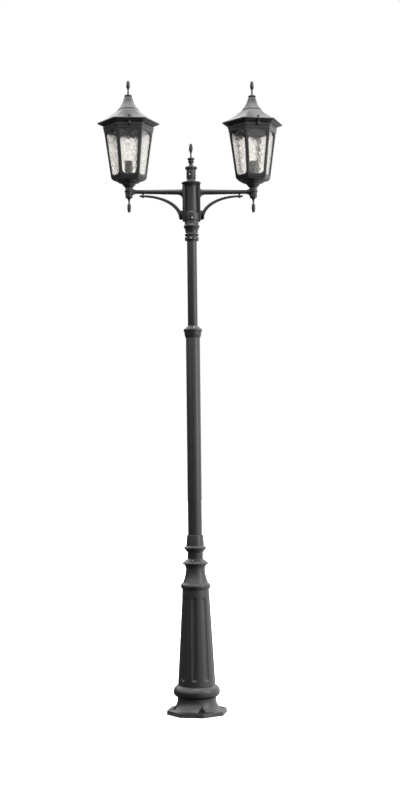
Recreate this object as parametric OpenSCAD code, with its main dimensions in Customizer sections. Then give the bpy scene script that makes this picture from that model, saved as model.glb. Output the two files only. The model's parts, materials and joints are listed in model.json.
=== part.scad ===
// Twin-lantern street lamp post: a cast foot and fluted column, a two-stage
// steel pole, and a cast head whose two arms each carry a six-sided lantern.
// Millimetres, +Z up. The origin is the centre of the foot plate's underside,
// and the two arms lie along X.

/* [Foot and column] */
// Width of the foot plate across its corners
plate_across = 262; // [250:2:280]
// Thickness of the foot plate
plate_thick = 18; // [14:1:19]
// Diameter of the circle of anchor holes
anchor_pcd = 220; // [212:2:224]
// Diameter of each anchor hole
anchor_d = 14; // [10:1:16]
// Turn of the foot about the pole, against the line of the arms
foot_turn = 9; // [-45:1:45]
// Height of the top of the cast foot
foot_top = 119; // [117:1:123]
// Height of the top of the fluted column
column_top = 518; // [500:2:524]
// Number of flutes round the column
flute_count = 9; // [8:1:12]
// Depth of each flute
flute_depth = 3.5; // [2:0.5:4]

/* [Pole] */
// Outer diameter of the lower pole
lower_pole_d = 60; // [58:0.5:60.5]
// Outer diameter of the upper pole
upper_pole_d = 42; // [40:0.5:42.5]
// Wall of the lower pole
lower_wall = 3; // [2:0.5:3.5]
// Wall of the upper pole
upper_wall = 2.5; // [2:0.5:3]
// Height of the top end of the lower pole
lower_pole_top = 1606; // [1600:1:1610]
// Height of the top end of the upper pole
upper_pole_top = 2240; // [2232:1:2244]

/* [Head] */
// Height of the centre line of the arms
arm_z = 2214; // [2212:1:2216]
// Distance from the pole's centre to each lantern's centre
arm_reach = 267; // [260:1:290]
// Width of each brace and rib, front to back
brace_width = 12; // [8:1:16]

/* [Lanterns] */
// Width of a lantern's roof across its corners
brim_across = 267.4; // [258:0.2:272]
// Width of the glazed cage across its corners, at the bottom
cage_low_across = 153; // [150:1:156]
// Width of the glazed cage across its corners, at the top
cage_high_across = 209.8; // [206:0.2:212]
// Thickness of the glass
glass_thick = 3; // [2:0.5:4]
// Turn of the left lantern on its stem
left_turn = 2; // [-30:0.5:30]
// Turn of the right lantern on its stem
right_turn = 8.5; // [-30:0.5:30]
// Bore of the lamp holder's screw shell
shell_bore_d = 26.6; // [26:0.1:27]

/* [Hidden] */
$fn = 72;

// Colours
coat = "#2b2d30";
zinc = "#b8bbbd";
brass = "#b79a55";
pane_tint = [0.86, 0.87, 0.83, 0.45];
rubber = "#1a1a1a";
porcelain = "#e9e7e0";
cable_grey = "#3a3a3c";

// General gaps
slip = 0.15;      // between parts that slide together once
gap = 0.3;        // between parts that move past each other
cut = 1;          // how far a cutting shape runs past a face

// ---- Shared shapes ----------------------------------------------------------

// Points [r, z] along an arc about the centre [cr, cz]
function arc(cr, cz, r, from, to, steps = 8) =
    [for (i = [0 : steps]) let (a = from + (to - from) * i / steps)
        [cr + r * cos(a), cz + r * sin(a)]];

// Points along a curve that leaves a towards b and arrives at c from b
function bend(a, b, c, steps = 8) =
    [for (i = [0 : steps]) let (t = i / steps)
        (1 - t) * (1 - t) * a + 2 * t * (1 - t) * b + t * t * c];

// A solid of revolution from an outline of [r, z] points
module turned(outline) rotate_extrude($fn = 96) polygon(outline);

// A round bar along +X from x0 to x1 at height z
module bar_x(x0, x1, z, r)
    translate([x0, 0, z]) rotate([0, 90, 0]) cylinder(r = r, h = x1 - x0);

// A six-sided loft through rows [corner radius, z], with corners on +X and -X
module hex_loft(rows) {
    n = len(rows);
    polyhedron(
        points = [for (row = rows) for (k = [0 : 5])
            [row[0] * cos(60 * k), row[0] * sin(60 * k), row[1]]],
        faces = concat(
            [[for (k = [0 : 5]) k]],
            [for (j = [0 : n - 2]) for (k = [0 : 5]) let (m = (k + 1) % 6)
                [6 * j + k, 6 * (j + 1) + k, 6 * (j + 1) + m, 6 * j + m]],
            [[for (k = [5 : -1 : 0]) 6 * (n - 1) + k]]
        )
    );
}

// A round cord swept along hand-placed points, with flat ends
function unit(v) = v / norm(v);
function along(path, i) = let (n = len(path) - 1)
    unit(path[min(i + 1, n)] - path[max(i - 1, 0)]);
module cord(path, r, sides = 8) {
    n = len(path);
    side = [0, 1, 0];
    polyhedron(
        points = [for (i = [0 : n - 1]) let (t = along(path, i), u = unit(cross(side, t)), v = cross(t, u))
            for (k = [0 : sides - 1]) let (a = 360 * k / sides)
                path[i] + r * cos(a) * u + r * sin(a) * v],
        faces = concat(
            [[for (k = [sides - 1 : -1 : 0]) k]],
            [for (i = [0 : n - 2]) for (k = [0 : sides - 1]) let (m = (k + 1) % sides)
                [sides * i + k, sides * i + m, sides * (i + 1) + m, sides * (i + 1) + k]],
            [[for (k = [0 : sides - 1]) sides * (n - 1) + k]]
        )
    );
}

// ---- Foot, column and bell --------------------------------------------------

plate_r = plate_across / 2;
lower_r = lower_pole_d / 2;
upper_r = upper_pole_d / 2;
lower_bore_r = lower_r + slip;
upper_bore_r = upper_r + slip;

cavity_r = 64;        // hollow under the foot
web_z = 70;           // underside of the web that holds the pole
seat_z = 78;          // ledge that the lower pole stands on
seat_bore_r = 25;     // cable way through that ledge
pocket_r = 85.5;      // radius of the inner corner of each anchor pocket
pocket_reach = 60;    // how far a pocket's sides run outwards
pocket_high = 45;     // height of a pocket above the plate
step_z = 8;           // height of the step round the plate's edge
step_in = 1.5;        // how far the plate narrows at that step

spigot_r = 69.5;      // ring on the foot that locates the column
spigot_high = 5;
column_low_r = 79.2;
column_high_r = 56.4;
column_wall = 7;
flute_turn = 20;      // turn of the first flute from +X
flute_r = 19;         // radius of the cutter that makes a flute
flute_low = 140;      // lower end of the flutes
flute_margin = 29;    // from the upper end of the flutes to the column's top

rod_r = 3;
rod_circle = 35.6;    // radius of the circle of tie rods
rod_low = 56;
rod_high = 604;
rod_turn = 30;

// The cove above the plate is an arc about this centre [r, z]
cove_c = [136.3, 62.5];
cove_r = 55;
foot_outline = concat(
    [[0, plate_thick - cut], [100, plate_thick - cut], [100, plate_thick]],
    arc(cove_c[0], cove_c[1], cove_r, 180 + asin((cove_c[1] - plate_thick) / cove_r), 180),
    [[82.5, 69]],
    arc(70, 92, 28.3, -28, 72),
    [[column_low_r, foot_top], [spigot_r, foot_top], [spigot_r, foot_top + spigot_high],
     [0, foot_top + spigot_high]]
);

module rod_holes(r, z0, z1)
    for (i = [0 : 2]) rotate(rod_turn + 120 * i)
        translate([rod_circle, 0, z0]) cylinder(r = r, h = z1 - z0);

module foot_casting() color(coat) difference() {
    rotate(foot_turn) difference() {
        union() {
            cylinder(r = plate_r, h = step_z, $fn = 8);
            translate([0, 0, step_z - cut])
                cylinder(r = plate_r - step_in, h = plate_thick - step_z + cut, $fn = 8);
            turned(foot_outline);
        }
        for (i = [0 : 3]) rotate(90 * i) {
            translate([anchor_pcd / 2, 0, -cut]) cylinder(d = anchor_d, h = plate_thick + 2 * cut);
            translate([0, 0, plate_thick]) linear_extrude(pocket_high)
                polygon([[pocket_r, 0], [pocket_r + pocket_reach, -pocket_reach],
                         [pocket_r + pocket_reach, pocket_reach]]);
        }
    }
    translate([0, 0, -cut]) cylinder(r = cavity_r, h = web_z + cut);
    translate([0, 0, -cut]) cylinder(r = seat_bore_r, h = foot_top + 20);
    translate([0, 0, seat_z]) cylinder(r = lower_bore_r, h = foot_top);
    rod_holes(rod_r + slip, web_z - cut, foot_top + 20);
}

// One flute: a round-ended cutter lying along the column's slope
module flute_cutter() {
    slope = atan((column_low_r - column_high_r) / (column_top - foot_top));
    long = (column_top - flute_margin - flute_low) / cos(slope);
    stand_off = flute_r - flute_depth;
    end = 11;         // half the flute's width at the surface
    translate([column_low_r + stand_off, 0, foot_top]) rotate([0, -slope, 0])
        translate([0, 0, flute_low - foot_top + end - flute_r])
            turned(concat(arc(0, flute_r, flute_r, -90, 0, 5),
                          arc(0, long - 2 * end + flute_r, flute_r, 0, 90, 5)));
}

module fluted_column() color(coat) difference() {
    turned([[column_low_r - column_wall, foot_top], [column_low_r, foot_top],
            [column_high_r, column_top], [column_high_r - column_wall, column_top]]);
    for (i = [0 : flute_count - 1]) rotate(flute_turn + 360 / flute_count * i) flute_cutter();
}

bell_top = 650;
bell_outline = concat(
    [[lower_bore_r, bell_top], [lower_bore_r, 594], [38, 584], [44, 530], [44, column_top - 8],
     [48.8, column_top - 8], [48.8, column_top], [column_high_r, column_top]],
    arc(48.8, column_top + 15, 14.4, -57, 61),
    arc(196.8, 610, 156.3, 204.2, 180),
    [[43, 614], [44.1, 619], [47.7, 623], [53, 625], [54.5, 628.5], [53, 632], [44.8, 639],
     [33.2, 647], [33.2, bell_top]]
);

module bell_casting() color(coat) difference() {
    turned(bell_outline);
    rod_holes(rod_r + slip, 560, rod_high + 2);
    screw_holes(NECK);
}

sleeve_top = 748;
module pole_sleeve() color(coat) turned([
    [lower_bore_r, bell_top], [32.8, bell_top], [32.8, 674], [34.5, 677], [38.8, 681],
    [40.9, 686], [45.8, 689.5], [47.7, 694], [45.5, 698], [38, 702], [37.7, 706],
    [34.4, sleeve_top - 1], [33.4, sleeve_top], [lower_bore_r, sleeve_top]
]);

module tie_rods() color(zinc) rod_holes(rod_r, rod_low, rod_high);

nut_high = 5;
washer_high = 1.5;
module tie_nuts() color(zinc) for (i = [0 : 2]) rotate(rod_turn + 120 * i)
    translate([rod_circle, 0, web_z - washer_high]) difference() {
        union() {
            cylinder(r = 6.5, h = washer_high);
            translate([0, 0, -nut_high]) cylinder(r = 5.6, h = nut_high, $fn = 6);
        }
        translate([0, 0, -nut_high - cut]) cylinder(r = rod_r + 0.05, h = 20);
    }

// ---- Poles and joint --------------------------------------------------------

module lower_pole() color(coat) turned([
    [lower_r - lower_wall, seat_z], [lower_r, seat_z],
    [lower_r, lower_pole_top], [lower_r - lower_wall, lower_pole_top]
]);

bush_low = 1486;
module joint_bush() color(zinc) turned([
    [upper_bore_r, bush_low], [lower_r - lower_wall - slip, bush_low],
    [lower_r - lower_wall - slip, lower_pole_top], [upper_bore_r, lower_pole_top]
]);

joint_low = 1587;
module joint_collar() color(coat) difference() {
    turned([
        [lower_bore_r, joint_low], [31.8, joint_low], [32.8, 1590], [35, 1596], [36, 1603],
        [36.2, 1611], [39.7, 1613.5], [39.7, 1621.5], [38.4, 1623], [23.5, 1636],
        [22.5, 1637], [upper_bore_r, 1637], [upper_bore_r, lower_pole_top + gap],
        [lower_bore_r, lower_pole_top + gap]
    ]);
    screw_holes(JOINT);
}

upper_pole_low = 1490;
lead_window_r = 6;
module upper_pole() color(coat) difference() {
    turned([
        [upper_r - upper_wall, upper_pole_low], [upper_r, upper_pole_low],
        [upper_r, upper_pole_top], [upper_r - upper_wall, upper_pole_top]
    ]);
    bar_x(-40, 40, arm_z, lead_window_r);
}

capital_low = 2004;
capital_split = 2024;
hub_low = 2087;
module capital_collar() color(coat) difference() {
    turned([
        [upper_bore_r, capital_low], [28.5, capital_low], [30, capital_low + 1.5], [30, 2016.5],
        [28.5, 2018], [24, 2018.5], [24, capital_split], [upper_bore_r, capital_split]
    ]);
    screw_holes(CAPITAL);
}

module capital_casting() color(coat) turned([
    [upper_bore_r, capital_split], [28.3, capital_split], [29.8, 2025.5], [29.8, 2030.5],
    [28.3, 2032], [26, 2034], [28.2, 2049], [34.5, 2062.5], [34.7, 2065], [30.2, 2074],
    [30.2, hub_low], [upper_bore_r, hub_low]
]);

// ---- Set screws -------------------------------------------------------------

// Each row is [height, inner radius, outer radius, turn of the first, how many]
NECK = [641, lower_r, 43.5, -108, 3];
JOINT = [1629, upper_r, 33.5, -83, 3];
CAPITAL = [2011, upper_r, 31.5, -98, 3];
HUB = [2098, upper_r, 34.5, -88, 2];
TOP = [2287, 17, 21.5, -110, 3];
screw_r = 3;
socket_r = 1.7;
socket_deep = 2.5;

module round_turns(row) for (i = [0 : row[4] - 1]) rotate(row[3] + 360 / row[4] * i) children();

module screw_holes(row) round_turns(row)
    bar_x(row[1] - 4, row[2] + 20, row[0], screw_r + slip);

module grub_screws(row) round_turns(row) difference() {
    bar_x(row[1], row[2], row[0], screw_r);
    translate([row[2] - socket_deep, 0, row[0]]) rotate([0, 90, 0])
        cylinder(r = socket_r, h = socket_deep + cut, $fn = 6);
}

module set_screws() color(zinc) {
    grub_screws(NECK);
    grub_screws(JOINT);
    grub_screws(CAPITAL);
    grub_screws(HUB);
    grub_screws(TOP);
}

// ---- Hub and top ------------------------------------------------------------

hub_top = 2249;
hub_r = 28;
pad_x = 26;           // flat faces on the hub that take the arms' back plates
plate_x = 38;         // outer face of a back plate
back_low = 2087.1;
back_high = 2246.5;
back_half = 14;       // half the width of a back plate, front to back
bolts = [[2112, 50], [2152, plate_x], [2184, plate_x], [2239, plate_x]];  // [height, outer face]
bolt_r = 3;
bolt_head_r = 5.5;

module hub_casting() color(coat) difference() {
    turned([
        [upper_bore_r, hub_low], [30.2, hub_low], [33, 2090], [33, 2122], [hub_r, 2127],
        [hub_r, 2234], [30, 2241], [36, 2246], [38.5, hub_top], [upper_bore_r, hub_top]
    ]);
    for (side = [-1, 1]) {
        translate([side * (pad_x + 20), 0, (back_low + back_high) / 2])
            cube([40, 2 * back_half + gap, back_high - back_low + gap], center = true);
        for (bolt = bolts) translate([side * 30, 0, bolt[0]]) rotate([0, 90, 0])
            cylinder(r = bolt_r + slip, h = 19, center = true);
    }
    bar_x(-60, 60, arm_z, lead_window_r);
    for (side = [-1, 1]) translate([0, side * (hub_r + 0.4), (2127 + 2234) / 2])
        rotate(45) cube([1.6, 1.6, 2234 - 2127 - 8], center = true);
    screw_holes(HUB);
}

cover_top = 2271;
module hub_cover() color(coat) turned(concat(
    [[12, hub_top], [40.3, hub_top], [41.8, hub_top + 1.5], [41.8, 2254], [40.3, 2255.5]],
    bend([36, 2256.3], [23, 2258], [20.2, 2264.5], 6),
    [[17.7, 2266], [17.7, cover_top], [17, cover_top], [17, 2296], [12, 2296]]
));

tube_top = 2312.5;
module top_tube() color(coat) difference() {
    turned([[17 + slip, cover_top], [20.2, cover_top], [20.2, tube_top], [17 + slip, tube_top]]);
    screw_holes(TOP);
}

module top_cap() color(coat) turned(concat(
    [[0, tube_top - 8], [17, tube_top - 8], [17, tube_top], [24.2, tube_top],
     [25.7, tube_top + 1.5], [25.7, 2321], [24.2, 2322.5]],
    bend([20, 2323], [10, 2324.5], [8.6, 2330], 5),
    [[8.6, 2339.5]],
    arc(8.5, 2345, 4.6, -70, 70, 6),
    [[10.7, 2351], [14.5, 2354.5], [16, 2357.5], [14.5, 2360]],
    bend([9, 2361], [3.8, 2363], [3.4, 2372], 5),
    [[0, 2372]]
));

// Outline of a finial from its thin stem to its tip: a small ring, then a bud
// that is widest a quarter of the way up and ends in a blunt point
bud_r = 7.8;
bud_high = 36;
function bud(z) = concat(
    [[3, z - 3], [5.5, z - 2], [5.5, z], [4.2, z + 0.5]],
    bend([5.4, z + 2], [bud_r, z + 4.5], [bud_r, z + 9.5], 4),
    bend([bud_r - 0.05, z + 11], [7, z + 21], [4.9, z + 30], 5),
    bend([4.6, z + 31.5], [3.4, z + 35.4], [0, z + bud_high], 4)
);

finial_low = 2372;
finial_ring = 2388;
module top_finial() color(coat) turned(concat([[0, finial_low], [3, finial_low]], bud(finial_ring)));

// ---- Arms and braces --------------------------------------------------------

arm_hub_r = 12;
arm_end_r = 8;
arm_end_x = arm_reach - 20;
flare_x = arm_reach - 28.5;   // where the arm starts to flare into the cup
flare_r = 12;
root_fillet = 6.5;    // radius above the arm's root
lead_bore_r = 4.2;
lead_drop = 3;        // how far the lead's bore lies below the arm's centre
cup_low = -18;
cup_high = 17;
cup_cavity_r = 12.5;
cup_roof = 10;        // underside of the wall that carries the stem
stem_r = 8;
run = 0.08;           // radial clearance of the stem in the cup

cup_outline = concat(
    [[0, cup_low], [15.4, cup_low], [16.2, cup_low + 1.5], [16.2, -14.5], [15, -13], [15, -11.5],
     [16.4, -10], [16.4, -4]],
    arc(12.1, 3, 7, -50, 50, 6),
    [[16.4, 10], [16.4, cup_high - 1], [15.4, cup_high], [0, cup_high]]
);

module bolt_holes() for (bolt = bolts) {
    bar_x(20, 60, bolt[0], bolt_r + slip);
    bar_x(bolt[1] - 3.5, bolt[1] + 20, bolt[0], bolt_head_r + slip);
}

module right_arm_shape() difference() {
    union() {
        translate([(pad_x + plate_x) / 2, 0, (back_low + back_high) / 2])
            cube([plate_x - pad_x, 2 * back_half, back_high - back_low], center = true);
        translate([plate_x - cut, 0, arm_z]) rotate([0, 90, 0])
            cylinder(r1 = arm_hub_r, r2 = arm_end_r, h = arm_end_x - plate_x + cut);
        // webs that thicken the arm at its root and where it meets the cup
        translate([0, brace_width / 2, 0]) rotate([90, 0, 0]) linear_extrude(brace_width) {
            polygon(concat([[plate_x - cut, arm_z], [plate_x - cut, arm_z - 32]],
                           arc(plate_x + 20, arm_z - 31, 20, 180, 90, 6),
                           [[plate_x + 30, arm_z]]));
            polygon(concat([[plate_x + 30, arm_z]],
                           arc(plate_x + root_fillet, arm_z + 11.5 + root_fillet, root_fillet, 270, 180, 5),
                           [[plate_x - cut, arm_z + 11.5 + root_fillet], [plate_x - cut, arm_z]]));
            polygon(concat([[arm_end_x - 20, arm_z]],
                           arc(flare_x, arm_z - 20, flare_r, 90, 14.5, 6),
                           [[flare_x + 20, arm_z - 17], [flare_x + 20, arm_z + 17]],
                           arc(flare_x, arm_z + 20, flare_r, -14.5, -90, 6)));
        }
        translate([arm_reach, 0, arm_z]) turned(cup_outline);
    }
    translate([arm_reach, 0, arm_z + cup_low - cut])
        cylinder(r = cup_cavity_r, h = cup_roof - cup_low + cut);
    translate([arm_reach, 0, arm_z]) cylinder(r = stem_r + run, h = cup_high + cut);
    bar_x(20, arm_reach, arm_z - lead_drop, lead_bore_r);
    bolt_holes();
    translate([stud_x, 0, arm_z - 20]) cylinder(r = stud_r + slip, h = 12.5);
}

module right_arm() color(coat) right_arm_shape();
module left_arm() color(coat) mirror([1, 0, 0]) right_arm_shape();

module arm_bolts() color(zinc) for (side = [0, 1]) mirror([side, 0, 0]) for (bolt = bolts)
    difference() {
        union() {
            bar_x(upper_r + gap, bolt[1] - 3, bolt[0], bolt_r);
            bar_x(bolt[1] - 3.5, bolt[1] - 0.3, bolt[0], bolt_head_r);
        }
        translate([bolt[1] - 2.6, 0, bolt[0]]) rotate([0, 90, 0]) cylinder(r = 2.2, h = 10, $fn = 6);
    }

// The brace's underside is a quarter ellipse; its upper edge stands off it by a
// thickness that falls from the root to the tip
brace_c = [214, 2100];
brace_a = 160;
brace_b = 92;
brace_root = 15;
brace_tip = 6.5;
stud_x = 207;
stud_r = 3;
function brace_under(a) = [brace_c[0] - brace_a * cos(a), brace_c[1] + brace_b * sin(a)];
function brace_over(a) = let (t = a / 90, n = unit([-brace_b * cos(a), brace_a * sin(a)]))
    brace_under(a) + (brace_root + (brace_tip - brace_root) * t) * n;

module right_brace_shape() difference() {
    translate([0, brace_width / 2, 0]) rotate([90, 0, 0]) linear_extrude(brace_width)
        polygon(concat(
            [[plate_x, 2094], [51, 2094]],
            [for (i = [0 : 14]) brace_under(6 + 6 * i)],
            arc(218, brace_c[1] + brace_b + brace_tip / 2, brace_tip / 2, -90, 90, 6),
            [for (i = [14 : -1 : 0]) brace_over(6 + 6 * i)],
            [[plate_x, 2134]]
        ));
    translate([stud_x, 0, 2150]) cylinder(r = stud_r + slip, h = 60);
    bolt_holes();
}

module right_brace() color(coat) right_brace_shape();
module left_brace() color(coat) mirror([1, 0, 0]) right_brace_shape();

// Stud, spacer and dome nut between a brace's tip and the arm
brace_top_z = brace_c[1] + brace_b + brace_tip;
stud_low = 2187.7;
module brace_studs() color(coat) for (side = [0, 1]) mirror([side, 0, 0])
    translate([stud_x, 0, 0]) {
        translate([0, 0, stud_low]) cylinder(r = stud_r, h = arm_z - 8 - stud_low);
        translate([0, 0, brace_top_z]) cylinder(r = 4.5, h = 6);
        translate([0, 0, stud_low]) cylinder(r = 5, h = 4, $fn = 6);
    }

module right_drop_finial() translate([arm_reach, 0, arm_z]) turned(concat(
    [[0, -12.3], [cup_cavity_r - slip, -12.3], [cup_cavity_r - slip, cup_low], [15, cup_low],
     [15.8, cup_low - 1], [15.8, -23.5], [14.6, -24.5]],
    bend([11, -25], [3.4, -27], [3, -39], 6),
    [[3, -53], [7.4, -54], [8.6, -56], [7.4, -58], [5.4, -58.6]],
    bend([6.4, -59.6], [7.4, -61], [7.4, -65], 3),
    bend([7.4, -66], [7.3, -76], [5.6, -83], 4),
    bend([5.2, -84.4], [3.8, -88.6], [0, -89], 4)
));
module drop_finials() color(coat) {
    right_drop_finial();
    mirror([1, 0, 0]) right_drop_finial();
}

// ---- Wiring in the head -----------------------------------------------------

block_low = 2279;
module terminal_block() color(porcelain) difference() {
    translate([-8, -7, block_low]) cube([16, 14, 22]);
    for (x = [-4.5, 4.5]) {
        translate([x, 0, block_low + 6]) cylinder(r = 2.2, h = 30);
        translate([x, -10, block_low + 15]) rotate([-90, 0, 0]) cylinder(r = 1.6, h = 6);
    }
}

lead_r = 2.5;
RIGHT_LEAD = [
    [4.5, 0, 2279], [4.5, 0, 2268], [5, 0, 2256], [7, 0, 2244], [9.5, 0, 2232], [12, 0, 2222.5],
    [16.5, 0, 2215.5], [24, 0, 2212], [36, 0, 2211], [50, 0, 2211], [70, 0, 2211], [100, 0, 2211], [130, 0, 2211],
    [160, 0, 2211], [190, 0, 2211], [220, 0, 2211], [244, 0, 2211], [254, 0, 2210],
    [260, 0, 2209.5], [264.5, 0, 2211], [266.6, 0, 2213], [267, 0, 2214.2], [267, 0, 2215.6]
];
module right_arm_lead() color(cable_grey) cord(RIGHT_LEAD, lead_r);
module left_arm_lead() color(cable_grey) mirror([1, 0, 0]) cord(RIGHT_LEAD, lead_r);

// ---- One lantern, about its own stem, z = 0 at the arm's centre line ---------

face_cos = cos(30);
cage_low = 59;
cage_high = 262;
band_top = 281;
cage_wall = 4.5;
low_r = cage_low_across / 2;
high_r = cage_high_across / 2;
brim_r = brim_across / 2;
low_flat = low_r * face_cos;
high_flat = high_r * face_cos;
lean = atan((high_flat - low_flat) / (cage_high - cage_low));
slant = (cage_high - cage_low) / cos(lean);

// Draws a flat shape in the plane of cage face i: x across the face, y up its
// slope, z outwards, from the middle of the face's lower edge
module on_face(i) rotate(30 + 60 * i) translate([low_flat, 0, cage_low])
    rotate([0, lean, 0]) rotate([90, 0, 90]) children();

module place(side) translate([side * arm_reach, 0, arm_z])
    rotate(side < 0 ? left_turn : right_turn) children();

// Hollow stem with the flange that hangs the lantern in the arm's cup
stem_low = 3;
stem_high = 66;
module stem() color(zinc) turned([
    [5.2, stem_low], [11.5, stem_low], [11.5, cup_roof - gap], [stem_r, cup_roof - gap],
    [stem_r, stem_high], [5.2, stem_high]
]);

rim_low = 48;
module bowl() color(coat) difference() {
    union() {
        turned(concat(
            [[0, cup_high + gap], [15.6, cup_high + gap], [16.5, 18.2], [16.5, 20]],
            bend([18, 20.5], [23, 23], [25, 30], 5),
            [[27.5, 30.5], [27.5, 32.5]],
            bend([29, 33], [34, 38], [43, 41], 5),
            [[45.5, 41.5], [45.5, 43.5]],
            bend([47.5, 44], [54, 46.5], [58.5, 51], 5),
            [[61, 51.5], [61, 55], [0, 55]]
        ));
        hex_loft([[low_r - 15, rim_low], [low_r - 7, rim_low + 4.5], [low_r - 0.8, cage_low - 2.5],
                  [low_r - 0.8, cage_low]]);
    }
    turned(concat(
        [[0, 30], [20, 30], [21, 33]],
        bend([24, 36], [28, 43], [45, 45.5], 4),
        [[54, 50], [57, 53], [57, cage_low + cut], [0, cage_low + cut]]
    ));
    cylinder(r = stem_r + 0.02, h = 60);
}

tray_thick = 2.5;
module tray() color(zinc) difference() {
    translate([0, 0, cage_low]) cylinder(r = low_r - 7, h = tray_thick, $fn = 6);
    cylinder(r = stem_r + slip, h = 80);
    for (i = [0 : 2]) rotate(30 + 120 * i) translate([45, 0, 50]) cylinder(r = 5, h = 20);
}

// Outline of a window in a cage face: round lower corners and a flat-topped
// arched head
rib = 10;
sill = 10;
head = slant - 9;
half_low = low_r / 2 - rib;
half_high = high_r / 2 - rib;
function half_at(y) = half_low + (half_high - half_low) * y / slant;
corner = 16;          // radius of the lower corners
arch_wide = 24;       // how far each end of the head curves in
arch_high = 22;       // how far it drops
window_side = concat(
    arc(half_at(sill + corner) - corner, sill + corner, corner, -90, 0, 6),
    [for (i = [0 : 6]) let (a = 15 * i)
        [half_at(head - arch_high) - arch_wide + arch_wide * cos(a),
         head - arch_high + arch_high * sin(a)]]
);
window_outline = concat(window_side,
    [for (i = [len(window_side) - 1 : -1 : 0]) [-window_side[i][0], window_side[i][1]]]);

hinge_y = 103;
hinge_z = 279;
pin_r = 2;
knuckle_r = 4;
knuckles = [[-24, -13], [13, 24]];   // the cage's two; the roof's lies between
lug_y = -105;
lug_z = 270;
catch_r = 2.5;

module knuckle(span, r = knuckle_r) translate([0, hinge_y, hinge_z]) bar_x(span[0], span[1], 0, r);

module cage() color(coat) difference() {
    union() {
        hex_loft([[low_r, cage_low], [high_r, cage_high]]);
        translate([0, 0, cage_high - 4]) cylinder(r = high_r + 1.6, h = 12, $fn = 6);
        translate([0, 0, cage_high + 8]) cylinder(r = high_r + 4.1, h = band_top - cage_high - 8, $fn = 6);
        for (span = knuckles) {
            knuckle(span);
            translate([span[0], 88, hinge_z - knuckle_r]) cube([span[1] - span[0], hinge_y - 88, 5]);
        }
        translate([-5, lug_y - 5, lug_z]) cube([10, 20, band_top - lug_z]);
    }
    hex_loft([[low_r - cage_wall / face_cos - 0.14, cage_low - cut],
              [high_r - cage_wall / face_cos, cage_high]]);
    translate([0, 0, cage_high - 0.5])
        cylinder(r = high_r - cage_wall / face_cos - 0.4, h = 40, $fn = 6);
    for (i = [0 : 5]) on_face(i) translate([0, 0, -3 * cage_wall])
        linear_extrude(5 * cage_wall) polygon(window_outline);
    knuckle([-30, 30], pin_r + run);
    translate([0, lug_y, lug_z - cut]) cylinder(r = catch_r + 0.4, h = 30);
}

pane_back = cage_wall + gap;
module glass() color(pane_tint) for (i = [0 : 5]) on_face(i)
    translate([0, 0, -pane_back - glass_thick]) linear_extrude(glass_thick)
        polygon([[half_at(4) + 3, 4], [half_at(head + 5) + 3, head + 5],
                 [-half_at(head + 5) - 3, head + 5], [-half_at(4) - 3, 4]]);

// Spring clips on the ribs, each held by a small screw between two panes
clip_thick = 1.5;
clip_z = [72, 250];
function flat_at(z) = low_flat + (high_flat - low_flat) * (z - cage_low) / (cage_high - cage_low);
module pane_clips() color(zinc) for (i = [0 : 5]) rotate(60 * i) for (z = clip_z) {
    r = (flat_at(z - 5) - pane_back - glass_thick - 4) / face_cos - 1;
    rib_r = (flat_at(z - 4) - cage_wall) / face_cos - 1;
    translate([r - clip_thick, -7, z - 5]) cube([clip_thick, 14, 10]);
    bar_x(r - clip_thick - 2, rib_r, z, 1.4);
}

holder_low = cage_low + tray_thick;
holder_high = 133;
module lamp_holder() color(porcelain) difference() {
    turned([
        [0, holder_low], [19.5, holder_low], [19.5, holder_low + 5], [17.2, holder_low + 7],
        [17.2, holder_high - 8], [18.2, holder_high - 7], [18.2, holder_high - 1],
        [17.2, holder_high], [0, holder_high]
    ]);
    translate([0, 0, 97]) cylinder(r = shell_bore_d / 2 + 0.7, h = 60);
    translate([0, 0, 90]) cylinder(r = 9, h = 20);
    translate([0, 0, holder_low - cut]) cylinder(r = stem_r + slip, h = 12);
    for (x = [-13, 13]) translate([x, 0, holder_low - cut]) cylinder(r = 1.8, h = 40);
}

module lamp_shell() color(brass) {
    difference() {
        translate([0, 0, 97]) cylinder(r = shell_bore_d / 2 + 0.7, h = 31);
        translate([0, 0, 90]) cylinder(r = shell_bore_d / 2, h = 60);
    }
    translate([0, 0, 90]) cylinder(r = 5, h = 3);
}

STEM_LEAD = [[0, 0, 2.2], [0, 0, 16], [0, 0, 30], [0, 0, 44], [0, 0, 58], [0, 0, 70]];
module stem_lead() color(cable_grey) cord(STEM_LEAD, lead_r);

module hinge_pin() color(zinc) {
    knuckle([-25, 25], pin_r);
    knuckle([-26.5, -24.5], 3);
    knuckle([24.5, 26.5], 3);
}

// ---- A lantern's roof -------------------------------------------------------

roof_low = band_top + 2;
seal_low = band_top + gap;
skirt_top = 355.5;
cone_top = 412;
eave = 296;
seal_r = high_r - 0.5;

roof_rows = concat(
    [[high_r + 5, roof_low], [high_r + 6.5, 285.5], [high_r + 14, 286.5], [high_r + 18, 290.5],
     [brim_r - 2.5, 291.5], [brim_r, 293], [brim_r, eave]],
    bend([brim_r - 3, eave + 2.4], [86, 317], [43.5, skirt_top], 9)
);
roof_hollow = concat(
    [[100, roof_low - cut], [100, 288], [116, 289.3], [124, 294], [126, 295.5]],
    bend([121, 299.8], [84, 314.5], [39.5, skirt_top - 3.5], 8),
    [[39, skirt_top + cut]]
);

module roof() color(coat) difference() {
    union() {
        hex_loft(roof_rows);
        knuckle([-12, 12]);
        translate([-12, hinge_y - 3, hinge_z]) cube([24, 6, roof_low + 8 - hinge_z]);
    }
    hex_loft(roof_hollow);
    for (span = knuckles) knuckle([span[0] - 1.2, span[1] + 1.2], knuckle_r + 1);
    knuckle([-30, 30], pin_r + run);
    translate([0, lug_y, lug_z]) cylinder(r = catch_r + slip, h = 60);
}

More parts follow.
